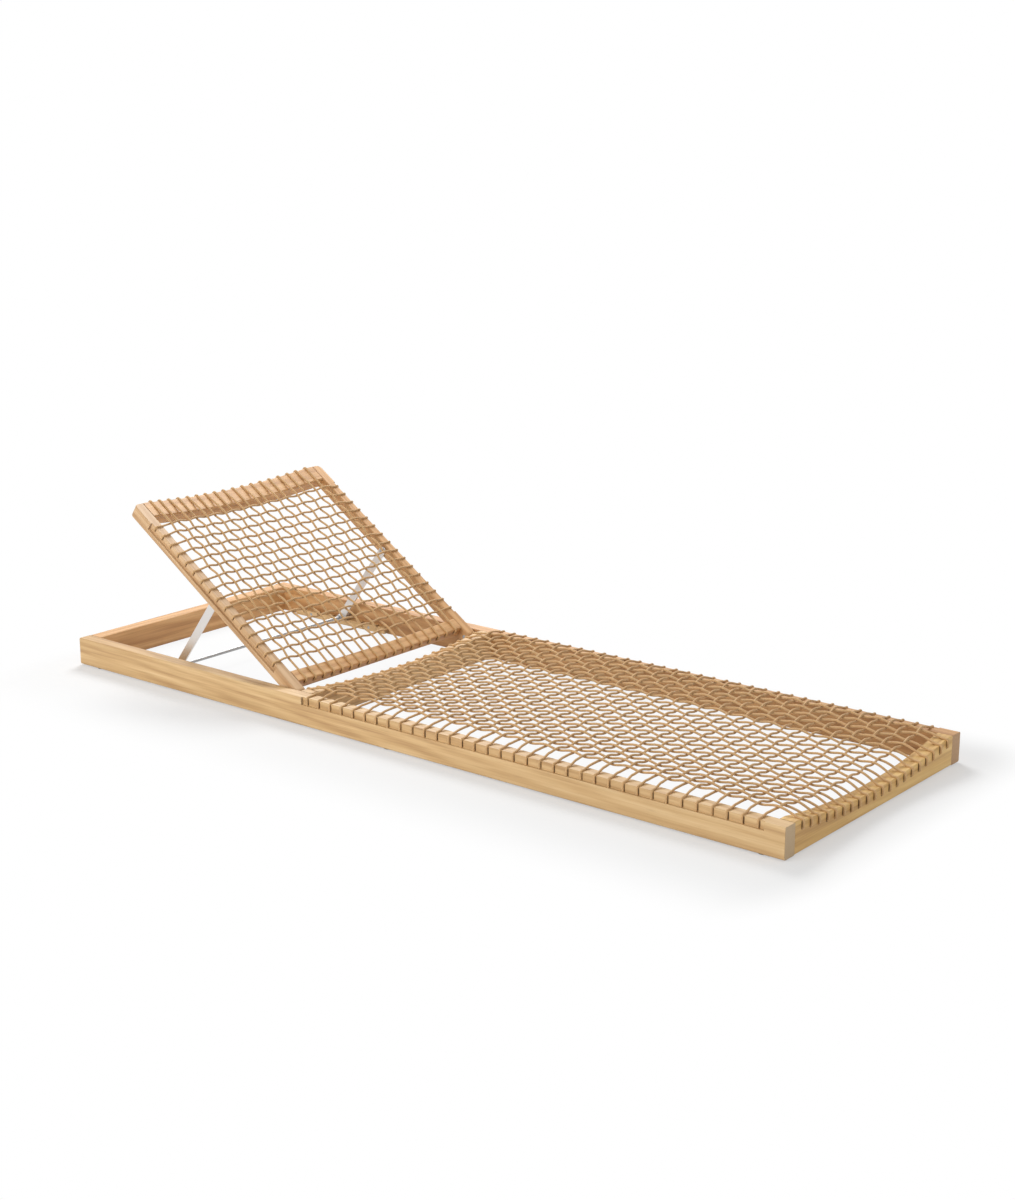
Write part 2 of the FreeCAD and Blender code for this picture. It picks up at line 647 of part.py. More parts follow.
def stay_arm(name, side):
    """A flat arm with round ends, a bolt hole at the top and a rod hole at the bottom."""
    body = new_body("stay_arm_" + name)
    half = "<arm_width> / 2"
    outer, inner = arm_face(side)
    start = "-(%s)" % (inner if side < 0 else outer)
    face = outline(body, "Arm" + name, "XZ_Plane",
                   [("-<stay_length>", "-" + half), ("0", "-" + half), ("0", half, half, 1),
                    ("-<stay_length>", half), ("-<stay_length>", "-" + half, half, 1)][:4], start)
    pad(body, face, "<arm_thickness>")
    tip = circle(body, "ArmTip" + name, "XZ_Plane", ("-<stay_length>", "0"), half, start)
    pad(body, tip, "<arm_thickness>")
    back = "-(%s)" % (outer if side < 0 else inner)
    bolt_hole = polygon(body, "BoltHole" + name, "XZ_Plane", ("0", "0"),
                        "(<bolt_diameter> / 2 + <bolt_clearance>) / cos(180 deg / <ring_sides>)",
                        "ring_sides", back)
    cut(body, bolt_hole, "<arm_thickness>", False)
    rod_hole = circle(body, "RodHole" + name, "XZ_Plane", ("-<stay_length>", "0"),
                      "<rod_diameter> / 2", back)
    cut(body, rod_hole, "<arm_thickness>", False)
    body.Placement = lean_stay()
    return body


def stay_rod():
    """The round rod across both arms, which rests on the racks."""
    body = new_body("stay_rod")
    end, radius = "(<inner_half> - <rod_end_gap>)", "<rod_diameter> / 2"
    corners = [("0", "-" + end), (radius, "-" + end), (radius, end), ("0", end)]
    revolve(body, outline(body, "Rod", "XY_Plane", corners), "Y_Axis")
    body.Placement = at_rod()
    return body


def ring_pair(label, placement, bore_radius, outer_radius, near, length):
    """A node of two many-sided rings on one cross axis, one at each side.

    near is the distance from the middle to a ring's inner end.  The flats of its bore,
    and not the corners, lie at bore_radius, so that a round shank fits in it.
    """
    body = new_body(label, True)
    bore_corners = "(%s) / cos(180 deg / <ring_sides>)" % bore_radius
    for name, side in SIDES:
        start = near if side < 0 else "-(%s) - (%s)" % (near, length)
        rim = polygon(body, label + "Rim" + name, "XZ_Plane", ("0", "0"), outer_radius, "ring_sides", start)
        pad(body, rim, length)
        bore = polygon(body, label + "Bore" + name, "XZ_Plane", ("0", "0"), bore_corners, "ring_sides", start)
        cut(body, bore, length, True)
    body.Placement = placement
    return body


def bolt_corners(side):
    """Half profile of a low-head bolt through the arm and its washer into the insert."""
    head = "%s - %d * <arm_play>" % (arm_face(side)[1], side)
    crown = "%s - %d * <bolt_head_height>" % (head, side)
    end = "%d * (<stile_inner> + <insert_length>)" % side
    shank, rim = "<bolt_diameter> / 2", "<bolt_head_diameter> / 2"
    return [("0", crown), (rim, crown), (rim, head), (shank, head), (shank, end), ("0", end)]


def stay_rings():
    """Washers between the arms and the stiles, inserts in the stiles and collars on the rod."""
    shank = "<bolt_diameter> / 2"
    ring_pair("stay_inserts", at_bolt(), shank, shank + " + <insert_wall>", "<stile_inner>",
              "<insert_length>")
    ring_pair("stay_washers", at_bolt(), shank + " + <bolt_clearance>", "<washer_diameter> / 2",
              "<stile_inner> - <washer_thickness>", "<washer_thickness>")
    ring_pair("rod_collars", at_rod(), "<rod_diameter> / 2", "<collar_diameter> / 2",
              "%s - <collar_length>" % arm_face(1)[1], "<collar_length>")


# Racks


def rack(name, side):
    """A notched rack.  Its notches lean so that the rod bears on their head side."""
    body = new_body("rack_" + name)
    start = "<inner_half> - <rack_thickness>" if side < 0 else "-<inner_half>"
    face = rectangle(body, "Rack" + name, "XZ_Plane", ("<rack_start>", "<rack_floor_gap>"),
                     ("<rack_start> + <rack_length>", "<rack_top>"), start)
    pad(body, face, "<rack_thickness>")
    bevel_edges(body, "<rack_bevel>", lambda edge: runs_along(edge, Y_AXIS))
    half = "<notch_width> / 2"
    floor = "<rack_top> - <notch_depth> + " + half
    lean = "(<notch_depth> - %s + <overrun>) * tan(<notch_lean> * 1 deg)" % half
    mouth = "<rack_top> + <overrun>"
    notch = outline(body, "Notch" + name, "XZ_Plane",
                    [("<notch_first> - " + half, floor),
                     ("<notch_first> + " + half, floor, half, 1),
                     ("<notch_first> + %s + %s" % (half, lean), mouth),
                     ("<notch_first> - %s + %s" % (half, lean), mouth)],
                    start + " + <rack_thickness>")
    spread(body, [cut(body, notch, "<rack_thickness>", False)], "X_Axis",
           "(<notch_count> - 1) * <notch_pitch>", "<notch_count>")
    place = ("<notch_first> + <notch_pitch> / 2", "<rack_screw_height>")
    shank = polygon(body, "RackHole" + name, "XZ_Plane", place, "<rack_screw_diameter> / 2",
                    "rack_screw_sides", start + " + <rack_thickness>")
    inner = "<inner_half> - <rack_thickness>" if side < 0 else "<rack_thickness> - <inner_half>"
    seat = polygon(body, "RackScrewSeat" + name, "XZ_Plane", place, "<rack_screw_head> / 2 + <glue_gap>",
                   "rack_screw_sides", inner)
    spread(body, [cut(body, shank, "<rack_thickness>", False),
                  cut(body, seat, "<rack_screw_head_height>", side < 0)], "X_Axis",
           "(<notch_count> - 2) * <notch_pitch>", "<rack_screw_count>")
    return body


def rack_screws():
    """Screws, sunk in the racks and driven into the side rails."""
    body = new_body("rack_screws", True)
    face = "<inner_half> - <rack_thickness>"
    shapes = (("Head", face, "<rack_screw_head_height>", "<rack_screw_head> / 2"),
              ("Shank", face + " + <rack_screw_head_height>",
               "<rack_thickness> - <rack_screw_head_height> + <rack_screw_reach>",
               "<rack_screw_diameter> / 2"))
    screws = []
    for name, side in SIDES:
        for shape, near, length, radius in shapes:
            start = near if side < 0 else "-(%s) - (%s)" % (near, length)
            section = polygon(body, "Screw" + shape + name, "XZ_Plane", ("0", "0"), radius,
                              "rack_screw_sides", start)
            screws.append(pad(body, section, length))
    spread(body, screws, "X_Axis", "(<notch_count> - 2) * <notch_pitch>", "<rack_screw_count>")
    place = Vector(size["notch_first"] + size["notch_pitch"] / 2, 0, size["rack_screw_height"])
    body.Placement = FreeCAD.Placement(place, FreeCAD.Rotation())
    return body


def floor_glides():
    """Flat glides under the side rails."""
    body = new_body("floor_glides", True)
    glides = []
    for name, side in SIDES:
        centre = ("-<half_length> + <glide_inset>", "%d * (<half_width> - <rail_thickness> / 2)" % side)
        disc = polygon(body, "Glide" + name, "XY_Plane", centre, "<glide_diameter> / 2", "glide_sides")
        glides.append(pad(body, disc, "<glide_thickness>"))
    spread(body, glides, "X_Axis", "<lounger_length> - 2 * <glide_inset>", "3")
    return body


# Cords, as bars in two layers


def dip(across, width, depth):
    """Height lost under the shoulders of a dipped rail at a distance from its middle."""
    half = width / 2
    if abs(across) >= half:
        return 0
    radius = (half ** 2 + depth ** 2) / (2 * depth)
    return math.sqrt(radius ** 2 - across ** 2) - (radius - depth)


def bar(path, plane_axis, place, thickness):
    """A bar of square section along a bent line that lies in one plane.

    path holds (along, up) pairs; plane_axis is the axis square to that plane.
    """
    def normal(a, b):
        length = math.hypot(b[0] - a[0], b[1] - a[1])
        return (-(b[1] - a[1]) / length, (b[0] - a[0]) / length)
    half = thickness / 2
    upper, lower = [], []
    for i, spot in enumerate(path):
        sides = []
        if i > 0:
            sides.append(normal(path[i - 1], spot))
        if i < len(path) - 1:
            sides.append(normal(spot, path[i + 1]))
        nx, ny = sum(s[0] for s in sides) / len(sides), sum(s[1] for s in sides) / len(sides)
        scale = half / (nx * nx + ny * ny)
        upper.append((spot[0] + nx * scale, spot[1] + ny * scale))
        lower.append((spot[0] - nx * scale, spot[1] - ny * scale))
    ring_points = upper + lower[::-1]
    start = place - half
    if plane_axis is X_AXIS:
        corners = [Vector(start, a, b) for a, b in ring_points]
    else:
        corners = [Vector(a, start, b) for a, b in ring_points]
    corners.append(corners[0])
    return Part.Face(Part.makePolygon(corners)).extrude(plane_axis * thickness)


def cross_path(outer, inner, top, sag, edge):
    """Path of a crosswise cord: over a rail, down under the others and up again.

    Between the outermost lengthwise cords it has three straight runs.  Their corners hang
    lower than the net by the height of its arc over a run, so that the runs clear the net.
    """
    radius = size["cord_radius"]
    under = size["cord_diameter"] + size["cord_gap"]
    end = outer - size["recess_depth"] + size["cord_diameter"]
    corner = edge / 3
    bulge = sag(0) - sag(corner)
    level = top + radius - under - bulge
    half = [(-end, top + radius), (-inner, top + radius),
            (-(edge + radius + size["cord_gap"]), level - sag(edge + radius)),
            (-corner, level - sag(corner))]
    return half + [(-y, z) for y, z in reversed(half)]


def cord_end(x, y, top, length):
    """A cord's end, square like its bar, hanging down from the bar's underside."""
    thickness = size["cord_diameter"]
    return Part.makeBox(thickness, thickness, length, Vector(x, y, top - length))


def side_ends(x, outer, top):
    """Both ends of a crosswise cord, down in the recesses."""
    low = x - size["cord_radius"]
    floor = outer - size["recess_depth"]
    return [cord_end(low, -floor - size["cord_diameter"], top, size["cord_tail"]),
            cord_end(low, floor, top, size["cord_tail"])]


def rail_rest(y, top, width, depth):
    """Height of a lengthwise cord's underside on a dipped rail."""
    return top - dip(abs(y) + size["cord_radius"], width, depth) + size["cord_seat_gap"]


def seat_dip(x, y):
    """Sag of the lengthwise seat cords at a point of the seat."""
    share = (x - size["middle_x"]) / (size["foot_x"] - size["middle_x"])
    return ((1 - share) * dip(y, size["seat_scoop_width"], size["middle_scoop_depth"])
            + share * dip(y, size["seat_scoop_width"], size["foot_scoop_depth"]))


def back_dip(reach, y):
    """Sag of the lengthwise backrest cords at a distance from the pivot."""
    share = (reach - size["back_bottom_start"]) / (size["back_top_start"] - size["back_bottom_start"])
    return ((1 - share) * dip(y, size["back_scoop_width"], size["back_bottom_scoop"])
            + share * dip(y, size["back_scoop_width"], size["back_top_scoop"]))


def seat_cords():
    """The seat's two layers of cords and their ends."""
    radius, thickness = size["cord_radius"], size["cord_diameter"]
    across, along, ends = [], [], []
    for number in range(int(size["seat_cross_count"])):
        x = size["seat_cross_first"] + number * size["seat_cross_pitch"]
        path = cross_path(size["half_width"], size["inner_half"], size["rail_top"],
                          lambda y, x=x: seat_dip(x, y) + size["cord_gap"], size["seat_long_edge"])
        across.append(bar(path, X_AXIS, x, thickness))
        ends += side_ends(x, size["half_width"], size["rail_top"])
    for number in range(int(size["seat_long_count"])):
        y = -size["seat_long_edge"] + number * size["seat_long_pitch"]
        foot_z = rail_rest(y, size["rail_top"], size["seat_scoop_width"], size["foot_scoop_depth"])
        head_z = rail_rest(y, size["rail_top"], size["seat_scoop_width"], size["middle_scoop_depth"])
        path = [(size["middle_x"] - thickness, head_z + radius),
                (size["middle_x"] + size["rail_thickness"], head_z + radius),
                (size["foot_x"], foot_z + radius), (size["foot_end"] + thickness, foot_z + radius)]
        along.append(bar(path, Y_AXIS, y, thickness))
        ends += [cord_end(size["middle_x"] - thickness, y - radius, head_z, size["cord_tail"]),
                 cord_end(size["foot_end"], y - radius, foot_z, size["cord_tail"])]
    solids_piece("seat_cords_crosswise", across)
    solids_piece("seat_cords_lengthwise", along)
    solids_piece("seat_cord_ends", ends)


def back_cords():
    """The backrest's two layers of cords and their ends, drawn flat and swung up with it."""
    radius, thickness = size["cord_radius"], size["cord_diameter"]
    across, along, ends = [], [], []
    for number in range(int(size["back_cross_count"])):
        reach = size["back_cross_start"] + number * size["back_cross_pitch"]
        path = cross_path(size["stile_outer"], size["stile_inner"], size["face_height"],
                          lambda y, reach=reach: back_dip(reach, y) + size["cord_gap"],
                          size["back_long_edge"])
        across.append(bar(path, X_AXIS, -reach, thickness))
        ends += side_ends(-reach, size["stile_outer"], size["face_height"])
    top_end, low_end = -size["back_length"], -size["back_bottom_start"]
    for number in range(int(size["back_long_count"])):
        y = -size["back_long_edge"] + number * size["back_long_pitch"]
        top_z = rail_rest(y, size["face_height"], size["back_scoop_width"], size["back_top_scoop"])
        low_z = rail_rest(y, size["face_height"], size["back_scoop_width"], size["back_bottom_scoop"])
        path = [(top_end - thickness, top_z + radius), (-size["back_top_start"], top_z + radius),
                (low_end - size["back_bottom_width"], low_z + radius), (low_end + thickness, low_z + radius)]
        along.append(bar(path, Y_AXIS, y, thickness))
        ends += [cord_end(top_end - thickness, y - radius, top_z, size["cord_tail"]),
                 cord_end(low_end, y - radius, low_z, size["cord_tail"])]
    solids_piece("back_cords_crosswise", across, lean_back())
    solids_piece("back_cords_lengthwise", along, lean_back())
    solids_piece("back_cord_ends", ends, lean_back())


# The whole lounger

for name, side in SIDES:
    side_rail(name, side)
cross_rail("head_rail", "-<half_length>", None)
cross_rail("middle_rail", "<middle_x>", "<middle_scoop_depth>")
cross_rail("foot_rail", "<foot_x>", "<foot_scoop_depth>")
for name, side in SIDES:
    rack(name, side)
rack_screws()
floor_glides()
turned_pair("pivot_bushes", at_pivot(), bush_corners)
seat_cords()
for name, side in SIDES:
    back_stile(name, side)
back_rail("back_bottom_rail", "<back_bottom_start>", "<back_bottom_width>", "<back_bottom_scoop>",
          False)
back_rail("back_top_rail", "<back_top_start>", "<back_top_width>", "<back_top_scoop>", True)
back_cords()
turned_pair("pivot_pins", at_pivot(), pin_corners)
for name, side in SIDES:
    stay_arm(name, side)
turned_pair("stay_bolts", at_bolt(), bolt_corners)
stay_rings()
stay_rod()
doc.recompute()

for item in doc.Objects:
    if "Invalid" in item.State or "Error" in item.State:
        raise RuntimeError("%s did not build: %s" % (item.Label, item.State))
os.makedirs("parts", exist_ok=True)
for piece in pieces:
    shape = piece.Shape
    if shape.isNull() or not shape.isValid() or not shape.Solids:
        raise RuntimeError("%s has no sound shape" % piece.Label)
    shape.exportStep("parts/%s.step" % piece.Label)
print("pieces", len(pieces), "solids", sum(len(piece.Shape.Solids) for piece in pieces))
print("cords", [int(size[name]) for name in ("seat_cross_count", "seat_long_count", "back_cross_count",
                                             "back_long_count")])
print("stay ratio %.4f, arms %.2f below level, rod at x %.1f, rack top %.2f"
      % (size["stay_ratio"], size["stay_slope_rest"], size["rod_x"], size["rack_top"]))
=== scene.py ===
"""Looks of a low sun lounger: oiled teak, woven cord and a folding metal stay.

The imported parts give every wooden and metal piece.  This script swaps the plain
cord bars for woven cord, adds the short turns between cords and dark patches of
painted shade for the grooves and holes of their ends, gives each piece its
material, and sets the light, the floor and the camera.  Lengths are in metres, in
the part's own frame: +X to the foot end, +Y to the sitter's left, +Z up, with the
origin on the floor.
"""

import json
import logging
import math
from collections.abc import Sequence
from dataclasses import dataclass
from enum import Enum

import bpy
import numpy as np
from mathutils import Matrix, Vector

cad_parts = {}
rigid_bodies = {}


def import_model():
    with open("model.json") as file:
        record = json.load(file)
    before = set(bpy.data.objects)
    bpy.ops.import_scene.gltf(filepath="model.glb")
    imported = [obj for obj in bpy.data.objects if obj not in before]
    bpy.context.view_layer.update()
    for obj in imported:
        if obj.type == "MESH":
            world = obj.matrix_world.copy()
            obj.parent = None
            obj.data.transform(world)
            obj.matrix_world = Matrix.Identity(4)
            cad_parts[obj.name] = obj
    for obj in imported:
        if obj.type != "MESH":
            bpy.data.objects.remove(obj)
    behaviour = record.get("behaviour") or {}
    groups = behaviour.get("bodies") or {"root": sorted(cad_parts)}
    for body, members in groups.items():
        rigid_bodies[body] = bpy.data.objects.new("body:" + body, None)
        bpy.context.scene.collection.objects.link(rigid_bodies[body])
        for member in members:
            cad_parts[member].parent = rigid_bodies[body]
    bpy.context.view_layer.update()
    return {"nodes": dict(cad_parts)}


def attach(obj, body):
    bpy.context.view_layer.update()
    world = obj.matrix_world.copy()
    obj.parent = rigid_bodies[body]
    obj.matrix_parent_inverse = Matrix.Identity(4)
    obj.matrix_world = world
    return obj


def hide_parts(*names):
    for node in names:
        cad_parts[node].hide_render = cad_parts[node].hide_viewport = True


LOG = logging.getLogger("lounger")

# Points of a line, as rows of three coordinates
Path = np.ndarray


class Slot(str, Enum):
    """Names for material slots, which nothing in this script uses."""

    TEAK = "teak"
    CORD = "cord"


class Grain(Enum):
    """Which way the fibres of a wooden piece run."""

    ALONG_X = "x"
    ALONG_Y = "y"
    ALONG_SLOPE = "slope"
    ACROSS_SLOPE = "across_slope"


# Sizes shared with the part


@dataclass(frozen=True)
class Dip:
    """A shallow arc cut along the top of a rail.

    Attributes:
        width: Length of the arc's chord.
        depth: How far the arc's middle lies below the rail's top.
    """

    width: float
    depth: float

    def at(self, across: np.ndarray | float) -> np.ndarray:
        """Height lost at a distance from the middle.

        Args:
            across: Distance from the middle of the rail.

        Returns:
            The depth of the dip there, zero outside it.
        """
        half = self.width / 2
        radius = (half**2 + self.depth**2) / (2 * self.depth)
        inside = np.minimum(np.abs(across), half)
        return np.sqrt(radius**2 - inside**2) - (radius - self.depth)


@dataclass(frozen=True)
class Row:
    """A row of evenly spaced cords.

    Attributes:
        first: Place of the first cord.
        pitch: Spacing.
        count: Number of cords.
    """

    first: float
    pitch: float
    count: int

    @property
    def places(self) -> np.ndarray:
        """Places of all the cords."""
        return self.first + self.pitch * np.arange(self.count)


@dataclass(frozen=True)
class NetShape:
    """Shape that a net takes once it is stretched.

    The seat's follows crossings picked in the near half of the photo's net,
    and the backrest's was set over the photo.

    Attributes:
        middle: Heights on the long middle line over the frame's top plane, at the
            first crosswise cord, halfway and at the last one.
        side: The same along the outermost lengthwise cords.
        bow: How far the middles of the first and of the last crosswise cord are drawn
            towards the last rail.
        lean: How much less that is at the sitter's left, and more at the right.
    """

    middle: tuple[float, float, float]
    side: tuple[float, float, float]
    bow: tuple[float, float]
    lean: float

    def curve(self, heights: tuple[float, float, float], share: np.ndarray | float) -> np.ndarray:
        """The one parabola through three heights.

        Args:
            heights: Heights at shares 0, a half and 1.
            share: Place from the first crosswise cord, 0, to the last, 1.

        Returns:
            The height there.
        """
        first, half, last = heights
        return (first * (1 - share) * (1 - 2 * share) + half * 4 * share * (1 - share)
                + last * share * (2 * share - 1))


@dataclass(frozen=True)
class Panel:
    """One corded panel in its own directions: along it, across it and out of it.

    Attributes:
        name: Name used for the panel's pieces.
        body: Moving body that the panel belongs to.
        origin: Point where along and out are zero.
        along: Unit direction from the first cross rail to the last.
        out: Unit direction out of the panel's upper face.
        cross: The cords from side to side.
        long: The cords from end to end.
        outer: Half width over the side members.
        inner: Half width between the side members.
        rails: Outer and inner face of the first rail, then of the last one.
        dips: The dips of both rails.
        ends: Length of the lengthwise cords' ends down the rails.
        side_ends: Length of the crosswise cords' ends down the side members.
        parity: Which of the two weaves, 0 or 1.
        shape: Shape of the stretched net.
        nodes: Names of the part's own cord nodes: crosswise, lengthwise and ends.
    """

    name: str
    body: str
    origin: Vector
    along: Vector
    out: Vector
    cross: Row
    long: Row
    outer: float
    inner: float
    rails: tuple[float, float, float, float]
    dips: tuple[Dip, Dip]
    ends: float
    side_ends: float
    parity: int
    shape: NetShape
    nodes: tuple[str, str, str]

    @property
    def edge(self) -> float:
        """Distance of the outermost lengthwise cords from the middle."""
        return abs(self.long.first)

    def world(self, points: Path) -> Path:
        """Turns panel coordinates into the part's frame.

        Args:
            points: Rows of (along, across, out).

        Returns:
            Rows of (x, y, z).
        """
        basis = np.array([self.along, (0.0, 1.0, 0.0), self.out])
        return np.array(self.origin) + points @ basis

    def rise(self, along: np.ndarray | float, across: np.ndarray | float) -> np.ndarray:
        """Height of the net over the frame's top plane at a place.

        Args:
            along: Place along the panel.
            across: Place across it.

        Returns:
            The height, negative below the plane.
        """
        places = self.cross.places
        share = np.clip((along - places[0]) / (places[-1] - places[0]), 0.0, 1.0)
        shape = self.shape
        middle, side = shape.curve(shape.middle, share), shape.curve(shape.side, share)
        return middle + (side - middle) * (across / self.edge) ** 2

    def pull(self, along: np.ndarray | float, across: np.ndarray | float) -> np.ndarray:
        """How far the net is drawn towards the last rail at a place.

        Args:
            along: Place along the panel before it is drawn.
            across: Place across the panel.

        Returns:
            The distance along the panel.
        """
        places = self.cross.places
        bow = np.interp(along, (places[0], places[-1]), self.shape.bow)
        part = across / self.inner
        return (bow - self.shape.lean * part) * np.sqrt(np.clip(1 - part**2, 0.0, None))


@dataclass(frozen=True)
class Cord:
    """Make of the cord, and how its ends go into the wood.

    Attributes:
        radius: Half its thickness.
        recess: Depth of the cut in the outer faces for its ends.
        landing: Distance from the centre line of a cord's end to where the cord
            leaves the top of a rail.
        rail_sink: How far the cords press into the rails' tops.
        groove_gap: Distance from a rail's top to the painted shade of the grooves of the cords' ends.
        groove_lift: How far the dark patches of painted groove shade lie off the wood, so that they show.
        groove_margin: How much wider than the cord a patch of painted groove shade is on each side.
        side_reach: How far a crosswise cord goes into its hole.
        end_reach: How far a lengthwise cord goes into its hole.
        hole_turn: Length that the turn at a hole takes on both sides.
        side_turn: Length that a crosswise cord's turn over the edge takes.
        end_turn: Length that a lengthwise cord's turn over the edge takes.
        turn_step: Longest distance between samples on these turns.
    """

    radius: float = 0.00255
    recess: float = 0.006
    landing: float = 0.012
    rail_sink: float = 0.0011
    groove_gap: float = 0.004
    groove_lift: float = 0.00015
    groove_margin: float = 0.0007
    side_reach: float = 0.008
    end_reach: float = 0.009
    hole_turn: float = 0.0030
    side_turn: float = 0.0058
    end_turn: float = 0.0060
    turn_step: float = 0.0011


@dataclass(frozen=True)
class Link:
    """Make of the short turns between neighbouring crosswise cords.

    Attributes:
        sink: How far the centre line lies behind the side member's inner face.
        reach: How far both ends go on into the wood.
        rise: How far the turns lie above the crosswise cords' holes.
        turn: Length that a bend takes on both sides.
        step: Longest distance between samples on a bend.
    """

    sink: float = 0.0013
    reach: float = 0.008
    rise: float = 0.004
    turn: float = 0.004
    step: float = 0.0012


@dataclass(frozen=True)
class Unevenness:
    """Small differences between the cords.

    Attributes:
        place: Spread of the crosswise cords' places.
        hole: Spread of the holes' distances from the rails' tops.
        shift: Spread of the lengthwise cords' places.
        cross_sway: How far a crosswise cord sways to each side.
        cross_rate: Radians of that sway in one metre.
        long_sway: How far a lengthwise cord sways to each side.
        long_rate: Radians of that sway in one metre.
        phase: Largest start of a sway in radians, about one turn.
    """

    place: float = 0.0004
    hole: float = 0.0006
    shift: float = 0.0003
    cross_sway: float = 0.0008
    cross_rate: float = 29.0
    long_sway: float = 0.0007
    long_rate: float = 23.0
    phase: float = 6.28


ANGLE = math.radians(34.2)
RAIL_TOP = 0.068
PIVOT = Vector((-0.3084, 0.0, 0.053))
SLOPE = Vector((-math.cos(ANGLE), 0.0, math.sin(ANGLE)))
SLOPE_OUT = Vector((math.sin(ANGLE), 0.0, math.cos(ANGLE)))
BACK_HALF_THICKNESS = 0.015

SEAT_PANEL = Panel(
    name="seat",
    body="base",
    origin=Vector((0.0, 0.0, RAIL_TOP)),
    along=Vector((1.0, 0.0, 0.0)),
    out=Vector((0.0, 0.0, 1.0)),
    cross=Row(first=-0.23066, pitch=0.03424, count=35),
    long=Row(first=-0.290225, pitch=0.03055, count=20),
    outer=0.350,
    inner=0.315,
    rails=(-0.282, -0.247, 0.9595, 0.9945),
    dips=(Dip(width=0.600, depth=0.020), Dip(width=0.600, depth=0.026)),
    ends=0.0165,
    side_ends=0.0170,
    parity=1,
    shape=NetShape(middle=(-0.005, 0.006, -0.0075), side=(0.008, 0.0112, 0.0095),
                   bow=(0.0060, 0.0070), lean=0.0048),
    nodes=("seat_cords_crosswise", "seat_cords_lengthwise", "seat_cord_ends"),
)
BACK_PANEL = Panel(
    name="back",
    body="backrest",
    origin=PIVOT + SLOPE_OUT * BACK_HALF_THICKNESS,
    along=SLOPE,
    out=SLOPE_OUT,
    cross=Row(first=0.0864, pitch=0.0306, count=16),
    long=Row(first=-0.2601, pitch=0.0306, count=18),
    outer=0.312,
    inner=0.284,
    rails=(0.0194, 0.0524, 0.580, 0.628),
    dips=(Dip(width=0.540, depth=0.009), Dip(width=0.540, depth=0.019)),
    ends=0.012,
    side_ends=0.0090,
    parity=0,
    shape=NetShape(middle=(-0.006, -0.006, -0.014), side=(0.002, 0.003, 0.002),
                   bow=(0.0, 0.0090), lean=0.0),
    nodes=("back_cords_crosswise", "back_cords_lengthwise", "back_cord_ends"),
)


# Paths

# A line between two turns is divided by a little over 2, so that they don't meet
TURN_DIVISOR = 2.01
# Part of an eased step that starts at once, beside the part that starts slowly
PROMPT_PART = 0.6
# Places of the samples between a rail's top, 0, and the net, 1
RAMP_SHARES = np.linspace(0.0, 1.0, 13)[1:-1]


def rounded(points: Path, radii: Sequence[float], step: float) -> Path:
    """Bends the corners of a line into smooth turns and samples it finely.

    Args:
        points: Corner points, ends included.
        radii: Length that each inner corner's turn takes on both sides.
        step: Longest distance between samples on the turns.

    Returns:
        The samples.
    """
    made = [points[0]]
    for index in range(1, len(points) - 1):
        before, here, after = points[index - 1], points[index], points[index + 1]
        back, ahead = np.linalg.norm(before - here), np.linalg.norm(after - here)
        reach = min(radii[index - 1], back / TURN_DIVISOR, ahead / TURN_DIVISOR)
        start = here + (before - here) / back * reach
        end = here + (after - here) / ahead * reach
        count = max(3, int(np.ceil(2 * reach / step)))
        for share in np.linspace(0.0, 1.0, count + 1):
            made.append((1 - share) ** 2 * start + 2 * share * (1 - share) * here + share**2 * end)
    made.append(points[-1])
    return np.array(made)


def eased(share: np.ndarray) -> np.ndarray:
    """Smooth step from 0 to 1 that is level at its end only.

    Args:
        share: Values from 0 to 1.

    Returns:
        The eased values.
    """
    return share * (2 - share) * PROMPT_PART + share * share * (3 - 2 * share) * (1 - PROMPT_PART)


